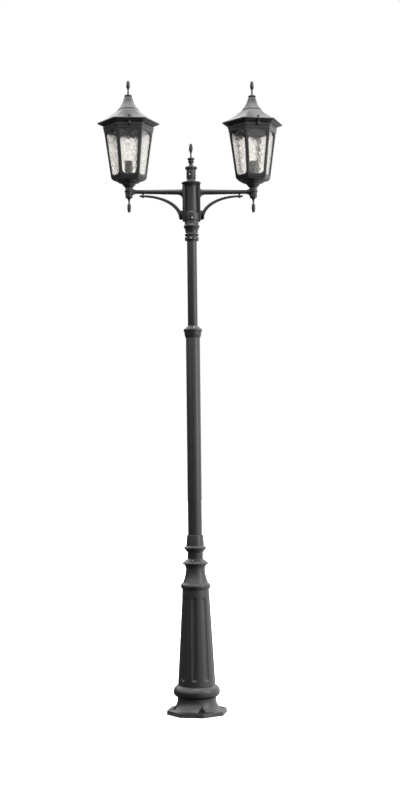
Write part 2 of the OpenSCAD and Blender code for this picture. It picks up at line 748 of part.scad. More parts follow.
module roof_cone() color(coat) difference() {
    hex_loft(concat([[45.5, skirt_top], [45.2, skirt_top + 1.6]],
                    bend([42.6, skirt_top + 3], [24.5, 381], [20.8, 398], 6),
                    [[16.4, cone_top - 1.4], [15.4, cone_top]]));
    hex_loft(concat([[39, skirt_top - cut], [39, skirt_top + 1]],
                    bend([38, skirt_top + 3], [20, 379], [15.5, 398], 4), [[12, 405]]));
    cylinder(r = 5.1, h = 500);
}

module roof_seal() color(rubber) difference() {
    translate([0, 0, seal_low]) cylinder(r = seal_r, h = roof_low - seal_low, $fn = 6);
    translate([0, 0, seal_low - cut]) cylinder(r = seal_r - 5.5, h = 10, $fn = 6);
}

module roof_finial() color(coat) turned(concat(
    [[0, 402], [5, 402], [5, cone_top], [12, cone_top], [12, 413], [15.8, 413.4], [16.8, 414.6],
     [16.8, 417], [15.8, 418]],
    bend([10.5, 418.6], [4, 420], [3.4, 429], 5),
    bud(483 - bud_high)
));

catch_top = 301.5;
module catch_screw() color(coat) translate([0, lug_y, 0]) difference() {
    union() {
        translate([0, 0, 275]) cylinder(r = catch_r, h = catch_top + 4 - 275);
        translate([0, 0, catch_top + 4]) cylinder(r = 5, h = 3.5);
    }
    translate([-6, -0.8, catch_top + 6]) cube([12, 1.6, 4]);
}

// ---- Left and right copies --------------------------------------------------

module left_stem() place(-1) stem();
module right_stem() place(1) stem();
module left_bowl() place(-1) bowl();
module right_bowl() place(1) bowl();
module left_tray() place(-1) tray();
module right_tray() place(1) tray();
module left_cage() place(-1) cage();
module right_cage() place(1) cage();
module left_glass() place(-1) glass();
module right_glass() place(1) glass();
module left_pane_clips() place(-1) pane_clips();
module right_pane_clips() place(1) pane_clips();
module left_lamp_holder() place(-1) lamp_holder();
module right_lamp_holder() place(1) lamp_holder();
module left_lamp_shell() place(-1) lamp_shell();
module right_lamp_shell() place(1) lamp_shell();
module left_stem_lead() place(-1) stem_lead();
module right_stem_lead() place(1) stem_lead();
module left_hinge_pin() place(-1) hinge_pin();
module right_hinge_pin() place(1) hinge_pin();
module left_roof() place(-1) roof();
module right_roof() place(1) roof();
module left_roof_cone() place(-1) roof_cone();
module right_roof_cone() place(1) roof_cone();
module left_roof_seal() place(-1) roof_seal();
module right_roof_seal() place(1) roof_seal();
module left_roof_finial() place(-1) roof_finial();
module right_roof_finial() place(1) roof_finial();
module left_catch_screw() place(-1) catch_screw();
module right_catch_screw() place(1) catch_screw();

foot_casting();
fluted_column();
bell_casting();
pole_sleeve();
tie_rods();
tie_nuts();
lower_pole();
joint_bush();
joint_collar();
upper_pole();
capital_collar();
capital_casting();
set_screws();
hub_casting();
hub_cover();
top_tube();
top_cap();
top_finial();
left_arm();
right_arm();
arm_bolts();
left_brace();
right_brace();
brace_studs();
drop_finials();
terminal_block();
left_arm_lead();
right_arm_lead();
left_stem();
right_stem();
left_bowl();
right_bowl();
left_tray();
right_tray();
left_cage();
right_cage();
left_glass();
right_glass();
left_pane_clips();
right_pane_clips();
left_lamp_holder();
right_lamp_holder();
left_lamp_shell();
right_lamp_shell();
left_stem_lead();
right_stem_lead();
left_hinge_pin();
right_hinge_pin();
left_roof();
right_roof();
left_roof_cone();
right_roof_cone();
left_roof_seal();
right_roof_seal();
left_roof_finial();
right_roof_finial();
left_catch_screw();
right_catch_screw();
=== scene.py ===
"""Twin-lantern street lamp post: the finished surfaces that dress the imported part.

Each sub-assembly is a class that holds its sizes in millimetres and builds its surfaces with
numpy. Heights are above the underside of the foot plate; a lantern's heights are above the
centre line of its arm, about its own stem.
"""

from __future__ import annotations

import json
import logging
import math
from collections.abc import Sequence
from dataclasses import dataclass, field
from enum import Enum
from typing import Any

import bpy
import numpy as np
from mathutils import Matrix


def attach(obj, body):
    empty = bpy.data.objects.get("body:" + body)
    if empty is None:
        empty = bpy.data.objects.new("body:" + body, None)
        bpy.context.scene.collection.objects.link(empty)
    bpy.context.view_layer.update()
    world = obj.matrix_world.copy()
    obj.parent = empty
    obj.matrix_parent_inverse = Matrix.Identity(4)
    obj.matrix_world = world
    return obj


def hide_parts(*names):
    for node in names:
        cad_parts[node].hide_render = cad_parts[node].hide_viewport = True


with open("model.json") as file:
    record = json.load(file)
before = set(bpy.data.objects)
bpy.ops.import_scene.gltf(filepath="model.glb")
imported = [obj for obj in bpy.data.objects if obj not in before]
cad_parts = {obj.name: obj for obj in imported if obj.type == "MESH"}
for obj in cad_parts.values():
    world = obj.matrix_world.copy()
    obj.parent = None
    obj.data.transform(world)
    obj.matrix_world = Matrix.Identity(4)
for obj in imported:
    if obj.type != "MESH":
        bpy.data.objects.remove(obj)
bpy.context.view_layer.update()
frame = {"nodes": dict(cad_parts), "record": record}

MM = 0.001
TAU = 2.0 * math.pi
COS30 = math.cos(math.pi / 6)

Array = np.ndarray
log = logging.getLogger("lamp_post")


# ---- Curves and surfaces ---------------------------------------------------------------


def arc(centre: Sequence[float], radius: float, start: float, end: float, steps: int = 10) -> Array:
    """Points along a circle: centre + radius * (cos a, sin a).

    Args:
        centre: the circle's centre, in the plane of the outline.
        radius: its radius in mm.
        start: first angle in degrees.
        end: last angle in degrees.
        steps: number of spans.

    Returns:
        An array of points, one a row.
    """
    a = np.radians(np.linspace(start, end, steps + 1))
    return np.stack([centre[0] + radius * np.cos(a), centre[1] + radius * np.sin(a)], axis=-1)


def bend(a: Sequence[float], b: Sequence[float], c: Sequence[float], steps: int = 10) -> Array:
    """Points along a quadratic curve: (1-t)^2 a + 2t(1-t) b + t^2 c.

    Args:
        a: first point.
        b: the point that the curve heads for as it leaves a.
        c: last point.
        steps: number of spans.

    Returns:
        An array of points, one a row.
    """
    t = np.linspace(0.0, 1.0, steps + 1)[:, None]
    return (1 - t) ** 2 * np.array(a) + 2 * t * (1 - t) * np.array(b) + t**2 * np.array(c)


def outline(*parts: Any) -> Array:
    """Joins points and runs of points into one outline, one point a row."""
    return np.concatenate([np.atleast_2d(np.asarray(part, float)) for part in parts])


def softened(points: Array, radius: float, closed: bool = True, limit: float = 14.0) -> Array:
    """Rounds every corner of an outline that turns by more than the limit.

    Each such corner becomes a quadratic curve that starts and ends at the radius from it, or
    at 45% of the shorter neighbouring edge.

    Args:
        points: the outline, one point a row.
        radius: how far from a corner its rounding starts, in mm.
        closed: whether the last point joins the first.
        limit: the least turn in degrees that counts as a corner.

    Returns:
        The rounded outline.
    """
    before = np.roll(points, 1, axis=0) - points
    after = np.roll(points, -1, axis=0) - points
    len_b = np.linalg.norm(before, axis=1) + 1e-9
    len_a = np.linalg.norm(after, axis=1) + 1e-9
    turn = np.degrees(np.arccos(np.clip(-(before * after).sum(1) / len_b / len_a, -1, 1)))
    soft = turn > limit
    if not closed:
        soft[[0, -1]] = False
    reach = np.minimum(radius, 0.45 * np.minimum(len_a, len_b))[:, None]
    start = points + before / len_b[:, None] * reach
    end = points + after / len_a[:, None] * reach
    t = np.array([0.0, 0.33, 0.67, 1.0])[None, :, None]
    curve = (1 - t) ** 2 * start[:, None] + 2 * t * (1 - t) * points[:, None] + t**2 * end[:, None]
    curve[~soft, 0] = points[~soft]
    keep = np.ones(curve.shape[:2], bool)
    keep[~soft, 1:] = False
    return curve[keep]


@dataclass(frozen=True)
class Skin:
    """A closed surface: points in mm, with its four-cornered and three-cornered faces."""

    points: Array
    quads: Array
    tris: Array

    def volume(self) -> float:
        """Returns the enclosed volume, which is below 0 if the faces point inwards."""
        p = self.points
        corners = np.concatenate([self.tris, self.quads[:, [0, 1, 2]], self.quads[:, [0, 2, 3]]])
        a, b, c = p[corners[:, 0]], p[corners[:, 1]], p[corners[:, 2]]
        return float((a * np.cross(b, c)).sum() / 6)

    def outward(self) -> Skin:
        """Returns the same surface with its faces pointing outwards."""
        if self.volume() >= 0:
            return self
        return Skin(self.points, self.quads[:, ::-1], self.tris[:, ::-1])

    def moved(self, turn: float = 0.0, shift: Sequence[float] = (0.0, 0.0, 0.0)) -> Skin:
        """Returns the surface turned about Z by an angle in radians, then shifted in mm."""
        c, s = math.cos(turn), math.sin(turn)
        spin = np.array([[c, -s, 0], [s, c, 0], [0, 0, 1]])
        return Skin(self.points @ spin.T + np.array(shift), self.quads, self.tris)

    def mirrored(self) -> Skin:
        """Returns the surface reflected across X = 0, with its faces still outwards."""
        flipped = Skin(self.points * np.array([-1.0, 1.0, 1.0]), self.quads, self.tris)
        return flipped.outward()


def joined(skins: Sequence[Skin]) -> Skin:
    """Puts several surfaces into one, each kept closed by itself."""
    starts = np.cumsum([0] + [len(s.points) for s in skins[:-1]])
    return Skin(
        np.concatenate([s.points for s in skins]),
        np.concatenate([s.quads + n for s, n in zip(skins, starts)]),
        np.concatenate([s.tris + n for s, n in zip(skins, starts)]),
    )


def skin_of(rows: Array, loop: bool = False) -> Skin:
    """Joins a grid of points into a closed surface.

    Columns wrap round. With loop the rows wrap too; otherwise each end row is closed by a fan
    about its middle, and an end row that is a single point becomes that middle.

    Args:
        rows: the grid, as row, column and xyz.
        loop: whether the last row joins the first.

    Returns:
        The surface, with its faces outwards.
    """
    hubs = []
    if not loop:
        for end, rest in ((0, slice(1, None)), (-1, slice(None, -1))):
            hubs.append(rows[end].mean(axis=0))
            if np.ptp(rows[end], axis=0).max() < 1e-6:
                rows = rows[rest]
    n, m = rows.shape[:2]
    i, j = np.meshgrid(np.arange(n if loop else n - 1), np.arange(m), indexing="ij")
    k, up = (j + 1) % m, (i + 1) % n
    quads = np.stack([i * m + j, i * m + k, up * m + k, up * m + j], axis=-1).reshape(-1, 4)
    points, tris = rows.reshape(-1, 3), np.zeros((0, 3), int)
    if hubs:
        j, k = np.arange(m), (np.arange(m) + 1) % m
        low = np.stack([np.full(m, n * m), k, j], axis=-1)
        high = np.stack([np.full(m, n * m + 1), (n - 1) * m + j, (n - 1) * m + k], axis=-1)
        tris = np.concatenate([low, high])
        points = np.concatenate([points, np.array(hubs)])
    return Skin(points, quads, tris).outward()


def turned(profile: Array, sides: int = 96, loop: bool = False) -> Skin:
    """Turns an outline about Z: x = r cos a, y = r sin a, z = z.

    Args:
        profile: radius and height, one point a row.
        sides: number of columns round the axis.
        loop: whether the outline is closed, as on a hollow ring.

    Returns:
        The surface of revolution.
    """
    a = np.linspace(0.0, TAU, sides, endpoint=False)
    r, z = profile[:, :1], profile[:, 1:]
    flat = np.ones_like(a)
    return skin_of(np.stack([r * np.cos(a), r * np.sin(a), z * flat], axis=-1), loop)


def polar(radius: Array, height: Array, angle: Array, loop: bool = False) -> Skin:
    """A surface whose radius is its own at each row and angle: (r cos a, r sin a, z)."""
    z = np.broadcast_to(height, radius.shape)
    return skin_of(np.stack([radius * np.cos(angle), radius * np.sin(angle), z], axis=-1), loop)


def prism(
    profile: Array,
    sides: int = 6,
    soft: float = 1.0,
    roundness: Array | float = 0.0,
    loop: bool = False,
    per_side: int = 5,
) -> Skin:
    """Carries an outline round a polygon with rounded corners.

    A point of a row is (a - q) / cos(pi/n) * C + q * D, where a is the row's distance to a
    flat, q the corner's radius, C runs between the unit corner directions and D is the
    direction that the surface faces. Roundness turns a row from the polygon, at 0, into a
    circle of radius a, at 1.

    Args:
        profile: distance to a corner and height, one point a row.
        sides: number of flats, with one corner on +X.
        soft: radius of the corners in mm.
        roundness: one value, or one a row.
        loop: whether the outline is closed.
        per_side: number of points along a flat between its corners.

    Returns:
        The surface.
    """
    half = math.pi / sides
    spread = np.linspace(-half, half, 5)
    corner = TAU * np.arange(sides) / sides
    ends = np.stack([np.cos(corner), np.sin(corner)], axis=-1)
    faces = np.stack([np.cos(corner + half), np.sin(corner + half)], axis=-1)
    bent = corner[:, None] + spread
    bent_d = np.stack([np.cos(bent), np.sin(bent)], axis=-1)
    bent_c = np.repeat(ends[:, None], len(spread), axis=1)
    t = (np.arange(1, per_side + 1) / (per_side + 1))[None, :, None]
    flat_c = ends[:, None] * (1 - t) + np.roll(ends, -1, axis=0)[:, None] * t
    flat_d = np.repeat(faces[:, None], per_side, axis=1)
    c = np.concatenate([bent_c, flat_c], axis=1).reshape(-1, 2)
    d = np.concatenate([bent_d, flat_d], axis=1).reshape(-1, 2)
    a = profile[:, 0][:, None, None] * math.cos(half)
    q = np.minimum(soft, 0.5 * a)
    sharp = (a - q) / math.cos(half) * c + q * d
    way = sharp / np.linalg.norm(sharp, axis=-1, keepdims=True)
    w = np.broadcast_to(np.asarray(roundness, float), (len(profile),))[:, None, None]
    flat = (1 - w) * sharp + w * a * way
    z = np.broadcast_to(profile[:, 1][:, None, None], (*flat.shape[:2], 1))
    return skin_of(np.concatenate([flat, z], axis=-1), loop)


def rounded_box(half_w: float, half_h: float, soft: float, steps: int = 4) -> Array:
    """The outline of a rectangle with rounded corners, about the origin, anticlockwise."""
    quarters = [
        arc((sx * (half_w - soft), sy * (half_h - soft)), soft, from_a, from_a + 90, steps)
        for sx, sy, from_a in ((1, 1, 0), (-1, 1, 90), (-1, -1, 180), (1, -1, 270))
    ]
    return np.concatenate(quarters)


def slab(low: Sequence[float], high: Sequence[float], soft: float = 1.0) -> Skin:
    """A block between two corners with every edge rounded.

    Rows run along X. A row at depth e inside an end face is drawn in by soft - sqrt(soft^2 -
    (soft - e)^2), so the end edges are rounded like the others.

    Args:
        low: lowest corner in mm.
        high: highest corner in mm.
        soft: edge radius in mm.

    Returns:
        The surface.
    """
    lo, hi = np.array(low, float), np.array(high, float)
    mid, half = (lo + hi) / 2, (hi - lo) / 2
    e = soft * (1 - np.cos(np.linspace(0, math.pi / 2, 4)))
    draw = soft - np.sqrt(np.maximum(soft**2 - (soft - e) ** 2, 0))
    x = np.concatenate([lo[0] + e, (hi[0] - e)[::-1]])
    inset = np.concatenate([draw, draw[::-1]])
    ring = rounded_box(half[1], half[2], soft)
    size = 1 - inset[:, None, None] / np.array([half[1], half[2]])
    flat = ring[None] * size + mid[1:]
    across = np.broadcast_to(x[:, None, None], (*flat.shape[:2], 1))
    return skin_of(np.concatenate([across, flat], axis=-1))


def hex_nut(radius: float, low: float, high: float, dome: float = 0.0) -> Skin:
    """A hexagon nut with chamfered corners and, if asked for, a domed end.

    The hexagon's corners are cut back by the cone r = radius * 0.87 + 1.6 * depth, as a
    turned chamfer cuts them.
    """
    a = np.linspace(0.0, TAU, 72, endpoint=False)
    hexagon = radius * COS30 / np.cos((a % (TAU / 6)) - TAU / 12)
    cut = radius * 0.08
    rows = [(low, 0.88), (low + cut, 1.0), (high - cut, 1.0), (high, 0.88)]
    r = np.stack([np.minimum(hexagon, radius * k) for _, k in rows])
    z = np.array([[h] for h, _ in rows])
    if dome:
        t = np.linspace(0.0, math.pi / 2, 8)[:, None]
        r = np.concatenate([r, radius * 0.72 * np.cos(t) * np.ones_like(a)])
        z = np.concatenate([z, high + dome * np.sin(t)])
    return polar(r, z, a)


# ---- Finishes --------------------------------------------------------------------------


def linear(code: str) -> tuple[float, float, float, float]:
    """Turns an sRGB hex colour into linear red, green, blue and 1."""
    srgb = np.array([int(code[k : k + 2], 16) for k in (1, 3, 5)]) / 255.0
    low, high = srgb / 12.92, ((srgb + 0.055) / 1.055) ** 2.4
    return (*np.where(srgb <= 0.04045, low, high).tolist(), 1.0)


def add(tree: Any, kind: str, settings: dict[Any, Any], links: dict[Any, Any]) -> Any:
    """Adds a node to a tree.

    Args:
        tree: the node tree.
        kind: the node's type, without its "ShaderNode".
        settings: values by input name or number, or by attribute of the node.
        links: output sockets by input name or number.

    Returns:
        The new node.
    """
    node = tree.nodes.new("ShaderNode" + kind)
    for key, value in settings.items():
        if isinstance(key, str) and key not in node.inputs:
            setattr(node, key, value)
    for key, value in settings.items():
        if not isinstance(key, str) or key in node.inputs:
            node.inputs[key].default_value = value
    for key, socket in links.items():
        tree.links.new(socket, node.inputs[key])
    return node


class Slot(Enum):
    """The finishes of this part, by the name of the record's material slot."""

    CASTING = "casting_coat"
    TUBE = "pole_coat"
    SCREW = "black_screw"
    STAINLESS = "stainless"
    ZINC = "zinc_plate"
    GLASS = "water_glass"
    PORCELAIN = "porcelain"
    BRASS = "brass_shell"
    RUBBER = "seal_rubber"
    CABLE = "cable_sheath"


@dataclass(frozen=True)
class Finish:
    """What every finish has: a name, and a start of its node tree."""

    name: str

    def blank(self) -> tuple[bpy.types.Material, Any, Any, Any]:
        """Returns an empty material, its tree, its object coordinates and its shader."""
        material = bpy.data.materials.new(self.name)
        material.use_nodes = True
        tree = material.node_tree
        tree.nodes.clear()
        coords = add(tree, "TexCoord", {}, {}).outputs["Object"]
        shader = add(tree, "BsdfPrincipled", {}, {})
        add(tree, "OutputMaterial", {}, {"Surface": shader.outputs[0]})
        return material, tree, coords, shader


@dataclass(frozen=True)
class PowderCoat(Finish):
    """Satin black polyester powder coat, sprayed and stoved.

    The eye gets a near-black with a soft sheen, a faint orange peel, the pebbly skin of a
    sand casting under it where the part is cast, and a little pale dust on what faces up.
    """

    base: str = "#1b1c1e"
    deep: str = "#141517"
    dust: str = "#6e6f6c"
    dust_share: float = 0.05
    roughness: tuple[float, float] = (0.30, 0.42)
    peel_mm: float = 6.0
    peel_high: float = 0.00012
    grain_mm: float = 2.6
    grain_high: float = 0.0

    def build(self) -> bpy.types.Material:
        """Returns the coat as a material."""
        material, tree, coords, shader = self.blank()
        # Patches of about 70 mm, as where the powder lay thicker
        patch = add(tree, "TexNoise", {"Scale": 1 / 0.07, "Detail": 3.0}, {"Vector": coords})
        body = add(
            tree,
            "MixRGB",
            {"Color1": linear(self.base), "Color2": linear(self.deep)},
            {"Fac": patch.outputs["Fac"]},
        )
        # Dust settles on upward faces, broken up over about 25 mm
        speck = add(
            tree, "TexNoise", {"Scale": 1 / 0.025, "Detail": 6.0, "Roughness": 0.65}, {"Vector": coords}
        )
        facing = add(tree, "NewGeometry", {}, {}).outputs["Normal"]
        up = add(tree, "SeparateXYZ", {}, {0: facing}).outputs["Z"]
        lies = add(
            tree,
            "MapRange",
            {"From Min": 0.35, "From Max": 1.0, "To Max": self.dust_share},
            {"Value": up},
        )
        share = add(
            tree, "Math", {"operation": "MULTIPLY"}, {0: lies.outputs[0], 1: speck.outputs["Fac"]}
        )
        colour = add(
            tree,
            "MixRGB",
            {"Color2": linear(self.dust)},
            {"Fac": share.outputs[0], "Color1": body.outputs[0]},
        )
        # Sheen that varies over about 40 mm
        wipe = add(tree, "TexNoise", {"Scale": 1 / 0.04, "Detail": 4.0}, {"Vector": coords})
        low, high = self.roughness
        sheen = add(tree, "MapRange", {"To Min": low, "To Max": high}, {"Value": wipe.outputs["Fac"]})
        # Orange peel is about 2 mm across; it is drawn coarser here so that it shows
        peel = add(
            tree, "TexNoise", {"Scale": 1000 / self.peel_mm, "Detail": 2.0}, {"Vector": coords}
        )
        bump = add(
            tree, "Bump", {"Strength": 0.6, "Distance": self.peel_high}, {"Height": peel.outputs["Fac"]}
        )
        if self.grain_high:
            # Sand grains leave pits a few tenths of a mm across, drawn at 2.6 mm to show
            grain = add(
                tree,
                "TexVoronoi",
                {"Scale": 1000 / self.grain_mm, "feature": "SMOOTH_F1"},
                {"Vector": coords},
            )
            bump = add(
                tree,
                "Bump",
                {"Strength": 0.5, "Distance": self.grain_high},
                {"Height": grain.outputs["Distance"], "Normal": bump.outputs[0]},
            )
        shader.inputs["IOR"].default_value = 1.5
        tree.links.new(colour.outputs[0], shader.inputs["Base Color"])
        tree.links.new(sheen.outputs[0], shader.inputs["Roughness"])
        tree.links.new(bump.outputs[0], shader.inputs["Normal"])
        return material


@dataclass(frozen=True)
class BareMetal(Finish):
    """A plain metal part, plated, rolled or turned.

    The eye gets the metal's own colour in soft reflections, drawn out into fine lines along
    one axis by the tool, and a slight dulling in patches.
    """

    bright: str = "#c9cbcc"
    dull: str = "#9a9c9d"
    roughness: tuple[float, float] = (0.22, 0.40)
    stretch: tuple[float, float, float] = (1.0, 1.0, 14.0)
    line_mm: float = 3.0

    def build(self) -> bpy.types.Material:
        """Returns the metal as a material."""
        material, tree, coords, shader = self.blank()
        # Tool lines a few tenths of a mm apart, drawn at 3 mm so that they show
        drawn = add(tree, "Mapping", {"Scale": self.stretch}, {"Vector": coords})
        lines = add(
            tree,
            "TexNoise",
            {"Scale": 1000 / self.line_mm / 4, "Detail": 5.0},
            {"Vector": drawn.outputs[0]},
        )
        patch = add(tree, "TexNoise", {"Scale": 1 / 0.015, "Detail": 3.0}, {"Vector": coords})
        colour = add(
            tree,
            "MixRGB",
            {"Color1": linear(self.bright), "Color2": linear(self.dull)},
            {"Fac": patch.outputs["Fac"]},
        )
        low, high = self.roughness
        sheen = add(tree, "MapRange", {"To Min": low, "To Max": high}, {"Value": lines.outputs["Fac"]})
        bump = add(tree, "Bump", {"Strength": 0.3, "Distance": 0.00008}, {"Height": lines.outputs["Fac"]})
        shader.inputs["Metallic"].default_value = 1.0
        tree.links.new(colour.outputs[0], shader.inputs["Base Color"])
        tree.links.new(sheen.outputs[0], shader.inputs["Roughness"])
        tree.links.new(bump.outputs[0], shader.inputs["Normal"])
        return material


@dataclass(frozen=True)
class WaterGlass(Finish):
    """Clear soda-lime glass rolled with a rippled face.

    The eye gets what lies behind it broken into wavy patches, a little warmer and darker
    where the glass is thick, with pale glints on the ripples and a very faint haze.
    """

    clear: str = "#f9f8f6"
    thick: str = "#e4e1dd"
    haze: str = "#e2e0dc"
    haze_share: float = 0.035
    ripple_mm: float = 8.0
    ripple_high: float = 0.0009

    def build(self) -> bpy.types.Material:
        """Returns the glass as a material."""
        material, tree, coords, shader = self.blank()
        # Ripples about 13 mm across, pulled a little along the pane, with finer ones on top
        pulled = add(tree, "Mapping", {"Scale": (1.0, 1.0, 0.75)}, {"Vector": coords})
        wave = add(
            tree,
            "TexNoise",
            {"Scale": 1000 / self.ripple_mm, "Detail": 2.0, "Roughness": 0.45, "Distortion": 0.9},
            {"Vector": pulled.outputs[0]},
        )
        bump = add(
            tree,
            "Bump",
            {"Strength": 1.0, "Distance": self.ripple_high},
            {"Height": wave.outputs["Fac"]},
        )
        # A thin film of dirt lies in the hollows of the ripples
        film = add(
            tree,
            "MapRange",
            {"From Min": 0.42, "From Max": 0.62, "To Min": self.haze_share, "To Max": 0.01},
            {"Value": wave.outputs["Fac"]},
        )
        shader.inputs["IOR"].default_value = 1.5
        shader.inputs["Transmission Weight"].default_value = 1.0
        shader.inputs["Roughness"].default_value = 0.04
        depth = add(
            tree, "MapRange", {"From Min": 0.40, "From Max": 0.60}, {"Value": wave.outputs["Fac"]}
        )
        colour = add(
            tree,
            "MixRGB",
            {"Color1": linear(self.thick), "Color2": linear(self.clear)},
            {"Fac": depth.outputs[0]},
        )
        tree.links.new(colour.outputs[0], shader.inputs["Base Color"])
        tree.links.new(bump.outputs[0], shader.inputs["Normal"])
        haze = add(tree, "BsdfTranslucent", {"Color": linear(self.haze)}, {"Normal": bump.outputs[0]})
        both = add(
            tree, "MixShader", {}, {0: film.outputs[0], 1: shader.outputs[0], 2: haze.outputs[0]}
        )
        out = next(n for n in tree.nodes if n.type == "OUTPUT_MATERIAL")
        tree.links.new(both.outputs[0], out.inputs["Surface"])
        return material


@dataclass(frozen=True)
class PlainBody(Finish):
    """A glazed, moulded or extruded piece of one colour, with its own mottle and skin.

    The eye gets an even colour that drifts a little, and a skin that is glossy on a glaze
    and dull on rubber.
    """

    base: str = "#5a5954"
    shade: str = "#4b4a46"
    roughness: tuple[float, float] = (0.15, 0.30)
    mottle_mm: float = 9.0
    skin_high: float = 0.00006

    def build(self) -> bpy.types.Material:
        """Returns the piece's material."""
        material, tree, coords, shader = self.blank()
        mottle = add(
            tree, "TexNoise", {"Scale": 1000 / self.mottle_mm, "Detail": 5.0}, {"Vector": coords}
        )
        colour = add(
            tree,
            "MixRGB",
            {"Color1": linear(self.base), "Color2": linear(self.shade)},
            {"Fac": mottle.outputs["Fac"]},
        )
        low, high = self.roughness
        sheen = add(tree, "MapRange", {"To Min": low, "To Max": high}, {"Value": mottle.outputs["Fac"]})
        bump = add(
            tree,
            "Bump",
            {"Strength": 0.4, "Distance": self.skin_high},
            {"Height": mottle.outputs["Fac"]},
        )
        shader.inputs["IOR"].default_value = 1.5
        tree.links.new(colour.outputs[0], shader.inputs["Base Color"])
        tree.links.new(sheen.outputs[0], shader.inputs["Roughness"])
        tree.links.new(bump.outputs[0], shader.inputs["Normal"])
        return material


FINISHES: dict[Slot, Finish] = {
    Slot.CASTING: PowderCoat("powder_coat_on_cast_aluminium", grain_high=0.00022),
    Slot.TUBE: PowderCoat("powder_coat_on_steel_tube", dust_share=0.05),
    Slot.SCREW: PowderCoat("black_oxide_on_steel", base="#17181a", deep="#101112", dust_share=0.02),
    Slot.STAINLESS: BareMetal(
        "stainless_steel_turned", bright="#efefed", dull="#dadad8", roughness=(0.35, 0.5)
    ),
    Slot.ZINC: BareMetal("bright_zinc_plate_on_steel", bright="#c4c7c9", dull="#a0a4a8"),
    Slot.GLASS: WaterGlass("rippled_rolled_glass"),
    Slot.PORCELAIN: PlainBody("glazed_porcelain"),
    Slot.BRASS: BareMetal("rolled_brass_shell", bright="#c9a867", dull="#9c7c40", line_mm=2.0),
    Slot.RUBBER: PlainBody(
        "moulded_epdm_rubber", base="#191919", shade="#121212", roughness=(0.6, 0.8), mottle_mm=4.0
    ),
    Slot.CABLE: PlainBody(
        "extruded_cable_sheath", base="#3a3a3c", shade="#303032", roughness=(0.45, 0.6), mottle_mm=5.0
    ),
}


# ---- The workshop that turns surfaces into pieces --------------------------------------


@dataclass(frozen=True)
class Piece:
    """A surface with what the frame needs to know of it."""

    name: str
    skin: Skin
    slot: Slot
    body: str
    stands_for: tuple[str, ...] = ()
    crease: float = 32.0


@dataclass
class Workshop:
    """Builds the finishes once, and makes, dresses and places each piece."""

    finishes: dict[Slot, bpy.types.Material] = field(default_factory=dict)

    def finish(self, slot: Slot) -> bpy.types.Material:
        """Returns the material of a slot, made on its first use."""
        if slot not in self.finishes:
            self.finishes[slot] = FINISHES[slot].build()
        return self.finishes[slot]

    def make(self, piece: Piece) -> bpy.types.Object:
        """Makes a piece's mesh in metres, dresses it and puts it on its body.

        Args:
            piece: the surface and its facts.

        Returns:
            The finished object, which sits at the origin.
        """
        skin = piece.skin
        mesh = bpy.data.meshes.new(piece.name)
        mesh.from_pydata((skin.points * MM).tolist(), [], skin.quads.tolist() + skin.tris.tolist())
        mesh.validate()
        mesh.shade_smooth()
        mesh.set_sharp_from_angle(angle=math.radians(piece.crease))
        mesh.materials.append(self.finish(piece.slot))
        made = bpy.data.objects.new(piece.name, mesh)
        bpy.context.scene.collection.objects.link(made)
        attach(made, piece.body)
        if piece.stands_for:
            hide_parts(*piece.stands_for)
        log.info("%s: %d faces on %s", piece.name, len(mesh.polygons), piece.body)
        return made

    def dress_rest(self) -> None:
        """Gives every CAD node that is still shown the finish of its material slot."""
        for part in frame["record"]["subparts"]:
            node = frame["nodes"][part["node"]]
            if not node.hide_render:
                node.data.materials.clear()
                node.data.materials.append(self.finish(Slot(part["material_slot"])))
                log.info("%s: kept from the frame, %s", part["node"], part["material_slot"])


# ---- Foot, column and bell -------------------------------------------------------------


